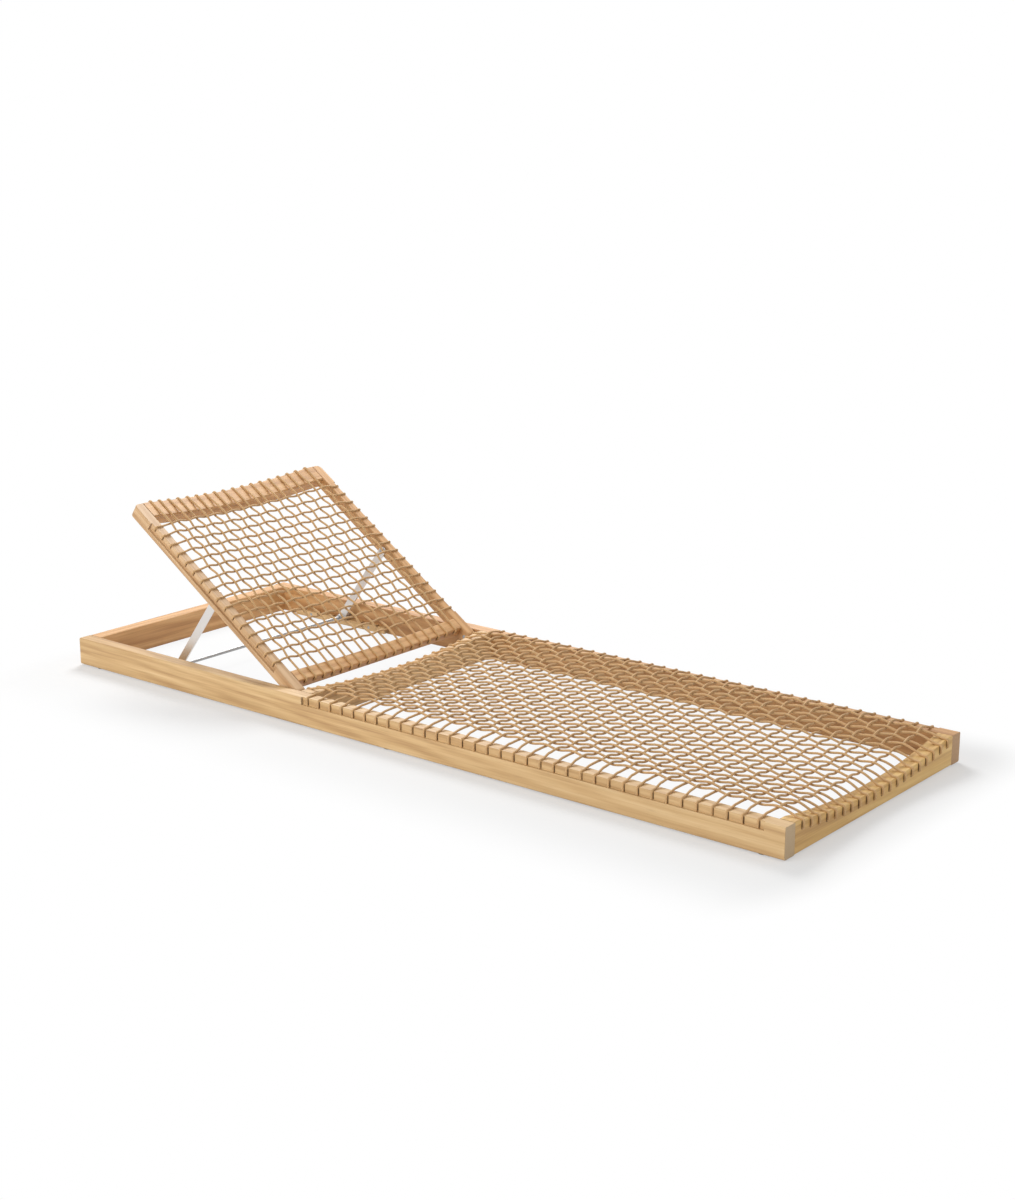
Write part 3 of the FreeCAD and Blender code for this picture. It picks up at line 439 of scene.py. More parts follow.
@dataclass
class Weaver:
    """Lays the cords of a panel over and under each other.

    Attributes:
        panel: The panel.
        seed: Start of the small random differences between cords.
        cord: Make of the cord.
        link: Make of the short turns between cords.
        uneven: How large the random differences are.
        step: Distance between samples along a cord.
    """

    panel: Panel
    seed: int
    cord: Cord = Cord()
    link: Link = Link()
    uneven: Unevenness = Unevenness()
    step: float = 0.004

    def __post_init__(self) -> None:
        """Starts the random numbers."""
        self.noise = np.random.default_rng(self.seed)

    def height(self, along: np.ndarray | float, across: np.ndarray | float, sign: int) -> np.ndarray:
        """Height of a cord's centre line over the panel's top plane.

        Args:
            along: Place along the panel.
            across: Place across it.
            sign: 1 for a crosswise cord and -1 for a lengthwise one.

        Returns:
            The height, positive outwards.
        """
        row = np.cos(math.pi * (along - self.panel.cross.first) / self.panel.cross.pitch)
        column = np.cos(math.pi * (across - self.panel.long.first) / self.panel.long.pitch)
        turn = -1 if self.panel.parity else 1
        return self.panel.rise(along, across) + sign * turn * self.cord.radius * row * column

    def crosswise(self, number: int) -> Path:
        """Centre line of one cord from side to side.

        Args:
            number: The cord's number from the first rail.

        Returns:
            Points in panel coordinates.
        """
        panel, cord, uneven = self.panel, self.cord, self.uneven
        place = panel.cross.places[number] + self.noise.normal(0.0, uneven.place)
        face = panel.outer - cord.recess + cord.radius
        hole = -panel.side_ends + self.noise.normal(0.0, uneven.hole)
        across = np.linspace(-panel.edge, panel.edge, math.ceil(2 * panel.edge / self.step + 0.5))
        lift = self.height(panel.cross.places[number], across, 1)
        start, rest = -(face - cord.landing), cord.radius - cord.rail_sink
        ramp = start + (across[0] - start) * RAMP_SHARES
        ramp_lift = rest + (lift[0] - rest) * eased(RAMP_SHARES)
        end_lift = rest + (lift[-1] - rest) * eased(RAMP_SHARES)
        corners = np.array([(0.0, -(face - cord.side_reach), hole), (0.0, -face, hole),
                            (0.0, -face, rest), (0.0, start, rest)])
        left = rounded(corners, (cord.hole_turn, cord.side_turn), cord.turn_step)
        right = left[::-1] * np.array([1.0, -1.0, 1.0])
        net = np.column_stack([np.zeros_like(across), across, lift])
        ramps = (np.column_stack([np.zeros_like(ramp), ramp, ramp_lift]),
                 np.column_stack([np.zeros_like(ramp), -ramp[::-1], end_lift[::-1]]))
        line = np.vstack([left, ramps[0], net, ramps[1], right])
        phase = self.noise.uniform(0, uneven.phase)
        sway = uneven.cross_sway * np.sin(line[:, 1] * uneven.cross_rate + phase)
        line[:, 0] += place + panel.pull(place, line[:, 1]) + sway * (np.abs(line[:, 1]) < panel.inner)
        return line

    def over_rail(self, face: float, top: float, hole: float, meet: tuple[float, float, float]) -> Path:
        """One end of a lengthwise cord: out of its hole, over the rail and up to the net.

        Args:
            face: Place of the cord's centre line beside the rail's outer face.
            top: Height of the rail's top there.
            hole: Height of the cord's hole.
            meet: The net's first point after the rail.

        Returns:
            Points in panel coordinates, from the hole to the last one before the net.
        """
        cord, (place, across, lift) = self.cord, meet
        way = math.copysign(1.0, place - face)
        start, rest = face + way * cord.landing, cord.radius - cord.rail_sink
        corners = np.array([(face + way * cord.end_reach, across, hole), (face, across, hole),
                            (face, across, top + rest), (start, across, top + rest)])
        ramp = np.column_stack([start + (place - start) * RAMP_SHARES, np.full(len(RAMP_SHARES), across),
                                top + rest + (lift - top - rest) * eased(RAMP_SHARES)])
        return np.vstack([rounded(corners, (cord.hole_turn, cord.end_turn), cord.turn_step), ramp])

    def lengthwise(self, number: int) -> Path:
        """Centre line of one cord from end to end.

        Args:
            number: The cord's number from the sitter's right.

        Returns:
            Points in panel coordinates.
        """
        panel, cord, uneven = self.panel, self.cord, self.uneven
        across = panel.long.places[number]
        first, last = panel.cross.places[0], panel.cross.places[-1]
        places = np.linspace(first, last, int((last - first) / self.step))
        lift = self.height(places, across, -1)
        places += panel.pull(places, across)
        net = np.column_stack([places, np.full(len(places), across), lift])
        tops = [-float(dip.at(across)) for dip in panel.dips]
        holes = [top - panel.ends + self.noise.normal(0.0, uneven.hole) for top in tops]
        near = self.over_rail(panel.rails[0] - cord.radius, tops[0], holes[0], tuple(net[0]))
        far = self.over_rail(panel.rails[3] + cord.radius, tops[1], holes[1], tuple(net[-1]))
        line = np.vstack([near, net, far[::-1]])
        shift = self.noise.normal(0.0, uneven.shift)
        phase = self.noise.uniform(0, uneven.phase)
        line[:, 1] += shift + uneven.long_sway * np.sin(line[:, 0] * uneven.long_rate + phase)
        return line

    def links(self) -> list[Path]:
        """Short turns of cord on the inner faces of the side members, which are a guess.

        Returns:
            Lines in panel coordinates.
        """
        made = []
        panel, link = self.panel, self.link
        depth, level = panel.inner + link.sink, -panel.side_ends + link.rise
        for side in (-1, 1):
            shallow, deep = side * depth, side * (depth + link.reach)
            for number in range(0, panel.cross.count - 1, 2):
                start, end = panel.cross.places[number : number + 2]
                corners = np.array([(start, deep, level), (start, shallow, level),
                                    (end, shallow, level), (end, deep, level)])
                made.append(rounded(corners, (link.turn, link.turn), link.step))
        return made

    def slots(self) -> list[tuple[np.ndarray, np.ndarray, float]]:
        """Places of the dark patches painted as the shade of the grooves that the cord ends lie in, down to
        their holes.

        Returns:
            A hole's centre and outward direction in panel coordinates, and the
            length of the groove above it.
        """
        made = []
        panel, cord = self.panel, self.cord
        for place in panel.cross.places:
            for side in (-1.0, 1.0):
                face = side * (panel.outer - cord.recess + cord.groove_lift)
                made.append((np.array([place, face, -panel.side_ends]), np.array([0.0, side, 0.0]),
                             panel.side_ends - cord.groove_gap))
        faces = ((panel.rails[0], panel.dips[0], -1.0), (panel.rails[3], panel.dips[1], 1.0))
        for across in panel.long.places:
            for rail, dip, way in faces:
                level = -float(dip.at(across)) - panel.ends
                made.append((np.array([rail + way * cord.groove_lift, across, level]),
                             np.array([way, 0.0, 0.0]), panel.ends - cord.groove_gap))
        return made


# Meshes

CORD_SIDES = 10
LINK_SIDES = 8
GROOVE_SIDES = 16
# How far the braid is moved on from one cord to the next, in cord thicknesses
BRAID_SHIFT = 37.0
# Sine above which a point of a hole's ring belongs to its upper half
UPPER_SINE = 0.01


def new_object(name: str, points: np.ndarray, faces: Sequence[Sequence[int]],
               uvs: np.ndarray | None = None) -> bpy.types.Object:
    """Makes a smooth mesh object in the scene.

    Args:
        name: Name of the object and its mesh.
        points: Vertex positions.
        faces: Vertex numbers of each face.
        uvs: One (u, v) for each face corner, in order.

    Returns:
        The object.
    """
    mesh = bpy.data.meshes.new(name)
    mesh.from_pydata(points.tolist(), [], faces)
    mesh.update()
    mesh.polygons.foreach_set("use_smooth", np.ones(len(mesh.polygons), dtype=bool))
    if uvs is not None:
        layer = mesh.uv_layers.new(name="along")
        layer.data.foreach_set("uv", uvs.astype(np.float32).ravel())
    made = bpy.data.objects.new(name, mesh)
    bpy.context.scene.collection.objects.link(made)
    return made


def tube(line: Path, radius: float, sides: int) -> tuple[np.ndarray, np.ndarray, np.ndarray]:
    """Surface of a round cord along a line.

    Args:
        line: Points of the centre line.
        radius: Radius of the cord.
        sides: Number of points round it.

    Returns:
        Points, quads and the quads' corner coordinates, where u runs once round
        and v grows by one for each cord thickness along it.
    """
    tangents = np.gradient(line, axis=0)
    tangents /= np.linalg.norm(tangents, axis=1, keepdims=True)
    spread = np.ptp(line, axis=0)
    reference = np.eye(3)[int(np.argmin(spread))]
    side = np.cross(tangents, reference)
    side /= np.linalg.norm(side, axis=1, keepdims=True)
    up = np.cross(side, tangents)
    angles = np.linspace(0.0, 2 * math.pi, sides, endpoint=False)
    ring = (np.cos(angles)[None, :, None] * side[:, None, :]
            + np.sin(angles)[None, :, None] * up[:, None, :])
    points = (line[:, None, :] + radius * ring).reshape(-1, 3)
    rows, columns = np.meshgrid(np.arange(len(line) - 1), np.arange(sides), indexing="ij")
    after = (columns + 1) % sides
    quads = np.stack([rows * sides + columns, rows * sides + after,
                      (rows + 1) * sides + after, (rows + 1) * sides + columns], axis=-1).reshape(-1, 4)
    run = np.concatenate([[0.0], np.cumsum(np.linalg.norm(np.diff(line, axis=0), axis=1))]) / (2 * radius)
    u0, u1 = columns / sides, (columns + 1) / sides
    v0, v1 = run[rows], run[rows + 1]
    corners = np.stack([np.stack([u0, v0], -1), np.stack([u1, v0], -1),
                        np.stack([u1, v1], -1), np.stack([u0, v1], -1)], axis=2).reshape(-1, 2)
    return points, quads, corners


def cord_object(name: str, panel: Panel, lines: Sequence[Path], radius: float,
                sides: int = CORD_SIDES) -> bpy.types.Object:
    """One mesh of several cords.

    Args:
        name: Name of the object.
        panel: Panel whose coordinates the lines are in.
        lines: Centre lines.
        radius: Radius of the cord.
        sides: Number of points round each cord.

    Returns:
        The object.
    """
    points, quads, corners, total = [], [], [], 0
    for number, line in enumerate(lines):
        made = tube(line, radius, sides)
        points.append(panel.world(made[0]))
        quads.append(made[1] + total)
        corners.append(made[2] + np.array([0.0, BRAID_SHIFT * number]))
        total += len(made[0])
    return new_object(name, np.vstack(points), np.vstack(quads).tolist(), np.vstack(corners))


def slot_shade_mesh(name: str, panel: Panel, slots: Sequence[tuple[np.ndarray, np.ndarray, float]],
                radius: float) -> bpy.types.Object:
    """One mesh of dark patches painted as the shade of the grooves and holes of the cord ends.

    Args:
        name: Name of the object.
        panel: Panel whose coordinates the grooves are in.
        slots: Centre of each hole, its outward direction and its groove's length.
        radius: Radius of a hole and half the width of its groove.

    Returns:
        The object.
    """
    points, faces = [], []
    angles = np.linspace(0.0, 2 * math.pi, GROOVE_SIDES, endpoint=False)
    up = np.array([0.0, 0.0, 1.0])
    for centre, way, length in slots:
        sideways = np.cos(angles)[:, None] * np.cross(way, up)
        ring = centre + radius * (sideways + np.sin(angles)[:, None] * up)
        ring += length * (np.sin(angles) > UPPER_SINE)[:, None] * up
        faces.append(list(range(len(points) * GROOVE_SIDES, (len(points) + 1) * GROOVE_SIDES)))
        points.append(panel.world(ring))
    return new_object(name, np.vstack(points), faces)


# Materials

# Sockets of a Mix node that mixes colours
MIX_SHARE, MIX_FIRST, MIX_SECOND, MIX_RESULT = 0, 6, 7, 2

# Ramps, as places from 0 to 1 with their colours
FIBRE_TONES = ((0.22, (0.410, 0.235, 0.096)), (0.44, (0.585, 0.382, 0.178)),
               (0.60, (0.670, 0.465, 0.235)), (0.82, (0.750, 0.560, 0.315)))
BROAD_TONES = ((0.30, (0.84, 0.78, 0.70)), (0.70, (1.06, 1.04, 1.02)))
END_GRAIN_TONES = ((0.15, (0.330, 0.215, 0.110)), (0.85, (0.640, 0.480, 0.290)))
# Cord colours over the braid's height: the dark end is painted shade in the valleys between strands
CORD_STRAND_SHADE_TONES = ((0.10, (0.120, 0.055, 0.018)), (0.45, (0.450, 0.250, 0.098)),
              (0.85, (0.830, 0.560, 0.280)))
CORD_WARMTH = ((0.3, (0.92, 0.93, 0.92)), (0.7, (1.06, 1.0, 0.94)))

PORE_COLOUR = (0.26, 0.14, 0.06)
NYLON_COLOUR = (0.035, 0.033, 0.030)
# Colour of the dark patches that paint the shade of the cord ends' grooves and holes
GROOVE_SHADE_COLOUR = (0.100, 0.050, 0.022)
FLOOR_COLOUR = (0.72, 0.72, 0.72)
# Radius of the wood's rounded edges
WOOD_EDGE = 0.0016
# Waves of the braid once round a cord, and over one thickness along it
BRAID_ROUND, BRAID_ALONG = 4.0, 1.35
# Power of those waves: the lower, the fuller the strands
BRAID_POWER = 0.6


class Shader:
    """A small builder of shader node trees."""

    def __init__(self, tree: bpy.types.NodeTree) -> None:
        """Starts on a tree.

        Args:
            tree: The tree to build in.
        """
        self.tree = tree

    def node(self, kind: str, **settings: object) -> bpy.types.Node:
        """Adds a node.

        Args:
            kind: Node type without its ShaderNode prefix.
            **settings: Properties of the node.

        Returns:
            The node.
        """
        made = self.tree.nodes.new("ShaderNode" + kind)
        for name, value in settings.items():
            setattr(made, name, value)
        return made

    def feed(self, node: bpy.types.Node, **inputs: object) -> bpy.types.Node:
        """Sets or links inputs of a node, with underscores for spaces in their names.

        Args:
            node: The node.
            **inputs: Values, or sockets to link from.

        Returns:
            The node.
        """
        for name, value in inputs.items():
            socket = node.inputs[name.replace("_", " ")]
            if isinstance(value, bpy.types.NodeSocket):
                self.tree.links.new(value, socket)
            else:
                socket.default_value = value
        return node

    def math(self, operation: str, *values: object) -> bpy.types.NodeSocket:
        """Works out one value from one, two or three others.

        Args:
            operation: Name of the operation.
            *values: Numbers or sockets.

        Returns:
            The result's socket.
        """
        made = self.node("Math", operation=operation)
        for index, value in enumerate(values):
            if isinstance(value, bpy.types.NodeSocket):
                self.tree.links.new(value, made.inputs[index])
            else:
                made.inputs[index].default_value = value
        return made.outputs[0]

    def noise(self, vector: bpy.types.NodeSocket, scale: float, detail: float = 4.0,
              roughness: float = 0.55, distortion: float = 0.0) -> bpy.types.NodeSocket:
        """Noise at a place.

        Args:
            vector: Where it is read.
            scale: Its scale.
            detail: Octaves.
            roughness: Share of the finer octaves.
            distortion: How far it is distorted.

        Returns:
            The noise's value socket.
        """
        made = self.node("TexNoise")
        self.feed(made, Vector=vector, Scale=scale, Detail=detail, Roughness=roughness,
                  Distortion=distortion)
        return made.outputs["Fac"]

    def stretched(self, vector: bpy.types.NodeSocket, scale: tuple[float, float, float],
                  offset: tuple[float, float, float] = (0.0, 0.0, 0.0)) -> bpy.types.NodeSocket:
        """A vector scaled by axis and then moved.

        Args:
            vector: The vector.
            scale: Factors.
            offset: What is added.

        Returns:
            The new vector's socket.
        """
        made = self.node("VectorMath", operation="MULTIPLY_ADD")
        self.tree.links.new(vector, made.inputs[0])
        made.inputs[1].default_value = scale
        made.inputs[2].default_value = offset
        return made.outputs[0]

    def ramp(self, value: bpy.types.NodeSocket,
             stops: Sequence[tuple[float, tuple[float, float, float]]]) -> bpy.types.NodeSocket:
        """Colours for a value.

        Args:
            value: The value.
            stops: Places from 0 to 1 and their colours.

        Returns:
            The colour's socket.
        """
        made = self.node("ValToRGB")
        elements = made.color_ramp.elements
        while len(elements) < len(stops):
            elements.new(0.5)
        for element, (place, colour) in zip(elements, stops):
            element.position = place
            element.color = (*colour, 1.0)
        self.tree.links.new(value, made.inputs[0])
        return made.outputs[0]

    def seen(self) -> bpy.types.NodeSocket:
        """Whether a ray comes from the camera, a mirroring surface or a clear one.

        Returns:
            A socket that is 1 for such rays and 0 for others.
        """
        path = self.node("LightPath")
        shown = self.math("MAXIMUM", path.outputs["Is Camera Ray"], path.outputs["Is Glossy Ray"])
        return self.math("MAXIMUM", shown, path.outputs["Is Transmission Ray"])

    def mix(self, share: object, first: object, second: object, blend: str = "MIX") -> bpy.types.NodeSocket:
        """Mixes two colours.

        Args:
            share: How much of the second.
            first: Socket or colour.
            second: Socket or colour.
            blend: How they are mixed.

        Returns:
            The colour's socket.
        """
        made = self.node("Mix", data_type="RGBA", blend_type=blend)
        for index, value in ((MIX_SHARE, share), (MIX_FIRST, first), (MIX_SECOND, second)):
            if isinstance(value, bpy.types.NodeSocket):
                self.tree.links.new(value, made.inputs[index])
            elif index == MIX_SHARE:
                made.inputs[index].default_value = value
            else:
                made.inputs[index].default_value = (*value, 1.0)
        return made.outputs[MIX_RESULT]


def new_group(name: str, inputs: Sequence[tuple[str, str, object]],
              outputs: Sequence[tuple[str, str]]) -> tuple[Shader, bpy.types.Node, bpy.types.Node]:
    """Starts a node group.

    Args:
        name: Its name.
        inputs: Name, socket type and default of each input.
        outputs: Name and socket type of each output.

    Returns:
        The builder and the group's input and output nodes.
    """
    tree = bpy.data.node_groups.new(name, "ShaderNodeTree")
    for label, kind, value in inputs:
        socket = tree.interface.new_socket(name=label, in_out="INPUT", socket_type=kind)
        if value is not None:
            socket.default_value = value
    for label, kind in outputs:
        tree.interface.new_socket(name=label, in_out="OUTPUT", socket_type=kind)
    shader = Shader(tree)
    return shader, tree.nodes.new("NodeGroupInput"), tree.nodes.new("NodeGroupOutput")


def teak_group() -> bpy.types.NodeTree:
    """Colour and relief of teak with its fibres along X of the given place.

    Returns:
        The node group.
    """
    shader, given, result = new_group(
        "Teak",
        [("Place", "NodeSocketVector", None), ("Facing", "NodeSocketVector", None),
         ("Shift", "NodeSocketFloat", 0.0), ("Tint", "NodeSocketColor", (1.0, 1.0, 1.0, 1.0))],
        [("Color", "NodeSocketColor"), ("Height", "NodeSocketFloat"), ("Gloss", "NodeSocketFloat")])
    links = shader.tree.links
    place = shader.node("VectorMath", operation="ADD")
    shift = shader.node("CombineXYZ")
    shader.feed(shift, X=shader.math("MULTIPLY", given.outputs["Shift"], 3.1),
                Y=given.outputs["Shift"], Z=shader.math("MULTIPLY", given.outputs["Shift"], 0.7))
    links.new(given.outputs["Place"], place.inputs[0])
    links.new(shift.outputs[0], place.inputs[1])
    spot = place.outputs[0]
    slow = shader.noise(shader.stretched(spot, (0.9, 9.0, 9.0)), 1.6, 3.0, 0.5)
    rings_in = shader.stretched(spot, (0.55, 9.0, 7.0))
    wave = shader.node("TexWave", wave_type="BANDS", bands_direction="DIAGONAL", wave_profile="SIN")
    shader.feed(wave, Vector=rings_in, Scale=3.4, Distortion=7.5, Detail=3.0, Detail_Scale=0.8,
                Detail_Roughness=0.55)
    fibre = shader.noise(shader.stretched(spot, (5.0, 260.0, 260.0)), 1.0, 5.0, 0.62)
    pores = shader.noise(shader.stretched(spot, (16.0, 900.0, 900.0)), 1.0, 2.0, 0.5)
    streak = shader.noise(shader.stretched(spot, (1.3, 60.0, 60.0)), 1.0, 4.0, 0.6)
    tone = shader.math("MULTIPLY_ADD", wave.outputs["Fac"], 0.16, shader.math("MULTIPLY", streak, 0.80))
    tone = shader.math("ADD", tone, shader.math("MULTIPLY_ADD", fibre, 0.50, -0.26))
    colour = shader.ramp(tone, FIBRE_TONES)
    broad = shader.ramp(slow, BROAD_TONES)
    colour = shader.mix(0.75, colour, broad, "MULTIPLY")
    ends = shader.node("SeparateXYZ")
    links.new(given.outputs["Facing"], ends.inputs[0])
    facing_end = shader.math("ABSOLUTE", ends.outputs["X"])
    steep = shader.math("MULTIPLY", shader.math("SUBTRACT", facing_end, 0.62), 4.0)
    end_share = shader.math("MAXIMUM", shader.math("SMOOTH_MIN", steep, 1.0, 0.2), 0.0)
    end_rings = shader.node("TexWave", wave_type="RINGS", rings_direction="X", wave_profile="SIN")
    shader.feed(end_rings, Vector=shader.stretched(spot, (0.0, 30.0, 30.0), (0.0, 1.1, 2.3)), Scale=2.6,
                Distortion=2.2, Detail=3.0, Detail_Scale=1.5)
    speckle = shader.noise(shader.stretched(spot, (1.0, 1400.0, 1400.0)), 1.0, 2.0, 0.7)
    speckle = shader.math("MULTIPLY", speckle, 0.5)
    end_tone = shader.math("MULTIPLY_ADD", end_rings.outputs["Fac"], 0.45, speckle)
    colour = shader.mix(end_share, colour, shader.ramp(end_tone, END_GRAIN_TONES))
    pore_share = shader.math("MULTIPLY", shader.math("LESS_THAN", pores, 0.36), 0.22)
    colour = shader.mix(pore_share, colour, PORE_COLOUR)
    links.new(shader.mix(1.0, colour, given.outputs["Tint"], "MULTIPLY"), result.inputs["Color"])
    height = shader.math("ADD", shader.math("MULTIPLY", fibre, 0.7), shader.math("MULTIPLY", pores, 0.3))
    links.new(height, result.inputs["Height"])
    links.new(shader.math("MULTIPLY_ADD", fibre, 0.22, 0.40), result.inputs["Gloss"])
    return shader.tree


def braid_group() -> bpy.types.NodeTree:
    """Colour and relief of a round braided cord.

    Returns:
        The node group.
    """
    shader, given, result = new_group(
        "Braid", [("Run", "NodeSocketVector", None)],
        [("Color", "NodeSocketColor"), ("Height", "NodeSocketFloat")])
    links = shader.tree.links
    split = shader.node("SeparateXYZ")
    links.new(given.outputs["Run"], split.inputs[0])
    turns = shader.math("MULTIPLY", split.outputs["X"], BRAID_ROUND * 2 * math.pi)
    run = shader.math("MULTIPLY", split.outputs["Y"], BRAID_ALONG * 2 * math.pi)
    left = shader.math("SINE", shader.math("ADD", turns, run))
    right = shader.math("SINE", shader.math("SUBTRACT", turns, run))
    left_height = shader.math("POWER", shader.math("ABSOLUTE", left), BRAID_POWER)
    right_height = shader.math("POWER", shader.math("ABSOLUTE", right), BRAID_POWER)
    which = shader.math("GREATER_THAN", shader.math("SINE", turns), 0.0)
    height = shader.math("ADD", shader.math("MULTIPLY", which, left_height),
                         shader.math("MULTIPLY", shader.math("SUBTRACT", 1.0, which), right_height))
    links.new(height, result.inputs["Height"])
    fleck = shader.noise(shader.stretched(given.outputs["Run"], (9.0, 4.0, 1.0)), 1.0, 3.0, 0.6)
    drift = shader.noise(shader.stretched(given.outputs["Run"], (0.0, 0.05, 1.0)), 1.0, 2.0, 0.5)
    # Tone from the braid's height paints shade between the strands; the flecks are the cord's own tone
    tone = shader.math("ADD", shader.math("MULTIPLY", height, 0.62),
                       shader.math("MULTIPLY_ADD", fleck, 0.50, -0.10))
    colour = shader.ramp(tone, CORD_STRAND_SHADE_TONES)
    warm = shader.ramp(drift, CORD_WARMTH)
    links.new(shader.mix(0.8, colour, warm, "MULTIPLY"), result.inputs["Color"])
    return shader.tree


@dataclass(frozen=True)
class Board:
    """What sets one wooden piece's teak apart.

    Attributes:
        grain: Which way the fibres run.
        shift: Moves the pattern, so that pieces differ.
        tint: Factor on its colour.
    """

    grain: Grain
    shift: float
    tint: tuple[float, float, float]


# Turns that bring a piece's fibres onto X
GRAIN_TURNS: dict[Grain, tuple[float, float, float]] = {
    Grain.ALONG_X: (0.0, 0.0, 0.0),
    Grain.ALONG_Y: (0.0, 0.0, -math.pi / 2),
    Grain.ALONG_SLOPE: (0.0, -ANGLE, 0.0),
    Grain.ACROSS_SLOPE: (0.0, -ANGLE, -math.pi / 2),
}


class Palette:
    """Makes each material once and hands it out."""

    def __init__(self) -> None:
        """Makes the shared node groups."""
        self.teak = teak_group()
        self.braid = braid_group()
        self.made: dict[str, bpy.types.Material] = {}

    def start(self, name: str) -> tuple[bpy.types.Material, Shader, bpy.types.Node]:
        """Starts a material with a plain surface.

        Args:
            name: Name of the material.

        Returns:
            The material, a builder for its tree and its surface node.
        """
        material = bpy.data.materials.new(name)
        material.use_nodes = True
        shader = Shader(material.node_tree)
        self.made[name] = material
        return material, shader, material.node_tree.nodes["Principled BSDF"]

    def wood(self, board: Board) -> bpy.types.Material:
        """Oiled teak.

        Args:
            board: Grain and tint of the piece.

        Returns:
            The material.
        """
        name = "teak_%s_%d" % (board.grain.value, round(board.shift * 100))
        if name in self.made:
            return self.made[name]
        material, shader, surface = self.start(name)
        where = shader.node("TexCoord")
        bevel = shader.feed(shader.node("Bevel", samples=4), Radius=WOOD_EDGE)
        local = shader.node("VectorTransform", vector_type="NORMAL", convert_from="WORLD",
                            convert_to="OBJECT")
        shader.tree.links.new(shader.node("NewGeometry").outputs["True Normal"], local.inputs[0])
        places = []
        for source, kind in ((where.outputs["Object"], "POINT"), (local.outputs[0], "VECTOR")):
            turned = shader.node("Mapping", vector_type=kind)
            turned.inputs["Rotation"].default_value = GRAIN_TURNS[board.grain]
            shader.tree.links.new(source, turned.inputs["Vector"])
            places.append(turned.outputs[0])
        group = shader.node("Group")
        group.node_tree = self.teak
        shader.feed(group, Place=places[0], Facing=places[1], Shift=board.shift, Tint=(*board.tint, 1.0))
        bump = shader.node("Bump")
        shader.feed(bump, Strength=0.35, Distance=0.0004, Height=group.outputs["Height"],
                    Normal=bevel.outputs[0])
        shader.feed(surface, Base_Color=group.outputs["Color"], Roughness=group.outputs["Gloss"],
                    Normal=bump.outputs[0])
        surface.inputs["Specular IOR Level"].default_value = 0.5
        return material

    def cord(self) -> bpy.types.Material:
        """Braided cord.

        Returns:
            The material.
        """
        if "cord_braid" in self.made:
            return self.made["cord_braid"]
        material, shader, surface = self.start("cord_braid")
        run = shader.node("UVMap", uv_map="along")
        group = shader.node("Group")
        group.node_tree = self.braid
        shader.feed(group, Run=run.outputs[0])
        bump = shader.node("Bump")
        shader.feed(bump, Strength=0.8, Distance=0.0006, Height=group.outputs["Height"])
        shader.feed(surface, Base_Color=group.outputs["Color"], Roughness=0.62, Normal=bump.outputs[0])
        surface.inputs["Specular IOR Level"].default_value = 0.3
        surface.inputs["Sheen Weight"].default_value = 0.15
        return material

    def metal(self, name: str, colour: tuple[float, float, float], roughness: float,
              stretch: tuple[float, float, float]) -> bpy.types.Material:
        """Brushed metal.

        Args:
            name: Name of the material.
            colour: Its colour.
            roughness: Its mean roughness.
            stretch: Scale of the brush marks by axis.

        Returns:
            The material.
        """
        if name in self.made:
            return self.made[name]
        material, shader, surface = self.start(name)
        where = shader.node("TexCoord")
        marks = shader.noise(shader.stretched(where.outputs["Object"], stretch), 1.0, 4.0, 0.6)
        spread = 0.16
        bump = shader.node("Bump")
        shader.feed(bump, Strength=0.12, Distance=0.0002, Height=marks)
        shader.feed(surface, Base_Color=(*colour, 1.0), Metallic=1.0, Normal=bump.outputs[0],
                    Roughness=shader.math("MULTIPLY_ADD", marks, spread, roughness - spread / 2))
        return material

    def plain(self, name: str, colour: tuple[float, float, float], roughness: float) -> bpy.types.Material:
        """An even surface with a little variation in its gloss.

        Args:
            name: Name of the material.
            colour: Its colour.
            roughness: Its roughness.

        Returns:
            The material.
        """
        if name in self.made:
            return self.made[name]
        material, shader, surface = self.start(name)
        where = shader.node("TexCoord")
        cloud = shader.noise(where.outputs["Object"], 60.0, 3.0)
        spread = 0.12
        shader.feed(surface, Base_Color=(*colour, 1.0),
                    Roughness=shader.math("MULTIPLY_ADD", cloud, spread, roughness - spread / 2))
        return material

    def floor(self) -> bpy.types.Material:
        """The pale floor.

        Returns:
            The material.
        """
        material, shader, surface = self.start("studio_floor")
        shader.feed(surface, Base_Color=(*FLOOR_COLOUR, 1.0), Roughness=0.9)
        surface.inputs["Specular IOR Level"].default_value = 0.0
        where = shader.node("TexCoord")
        glow = shader.node("Emission")
        blend = shader.node("MixShader")
        links = shader.tree.links
        share = FADE.share(shader, where.outputs["Object"])
        links.new(shader.math("MULTIPLY", shader.seen(), share), blend.inputs[0])
        links.new(surface.outputs[0], blend.inputs[1])
        links.new(glow.outputs[0], blend.inputs[2])
        links.new(blend.outputs[0], material.node_tree.nodes["Material Output"].inputs["Surface"])
        return material


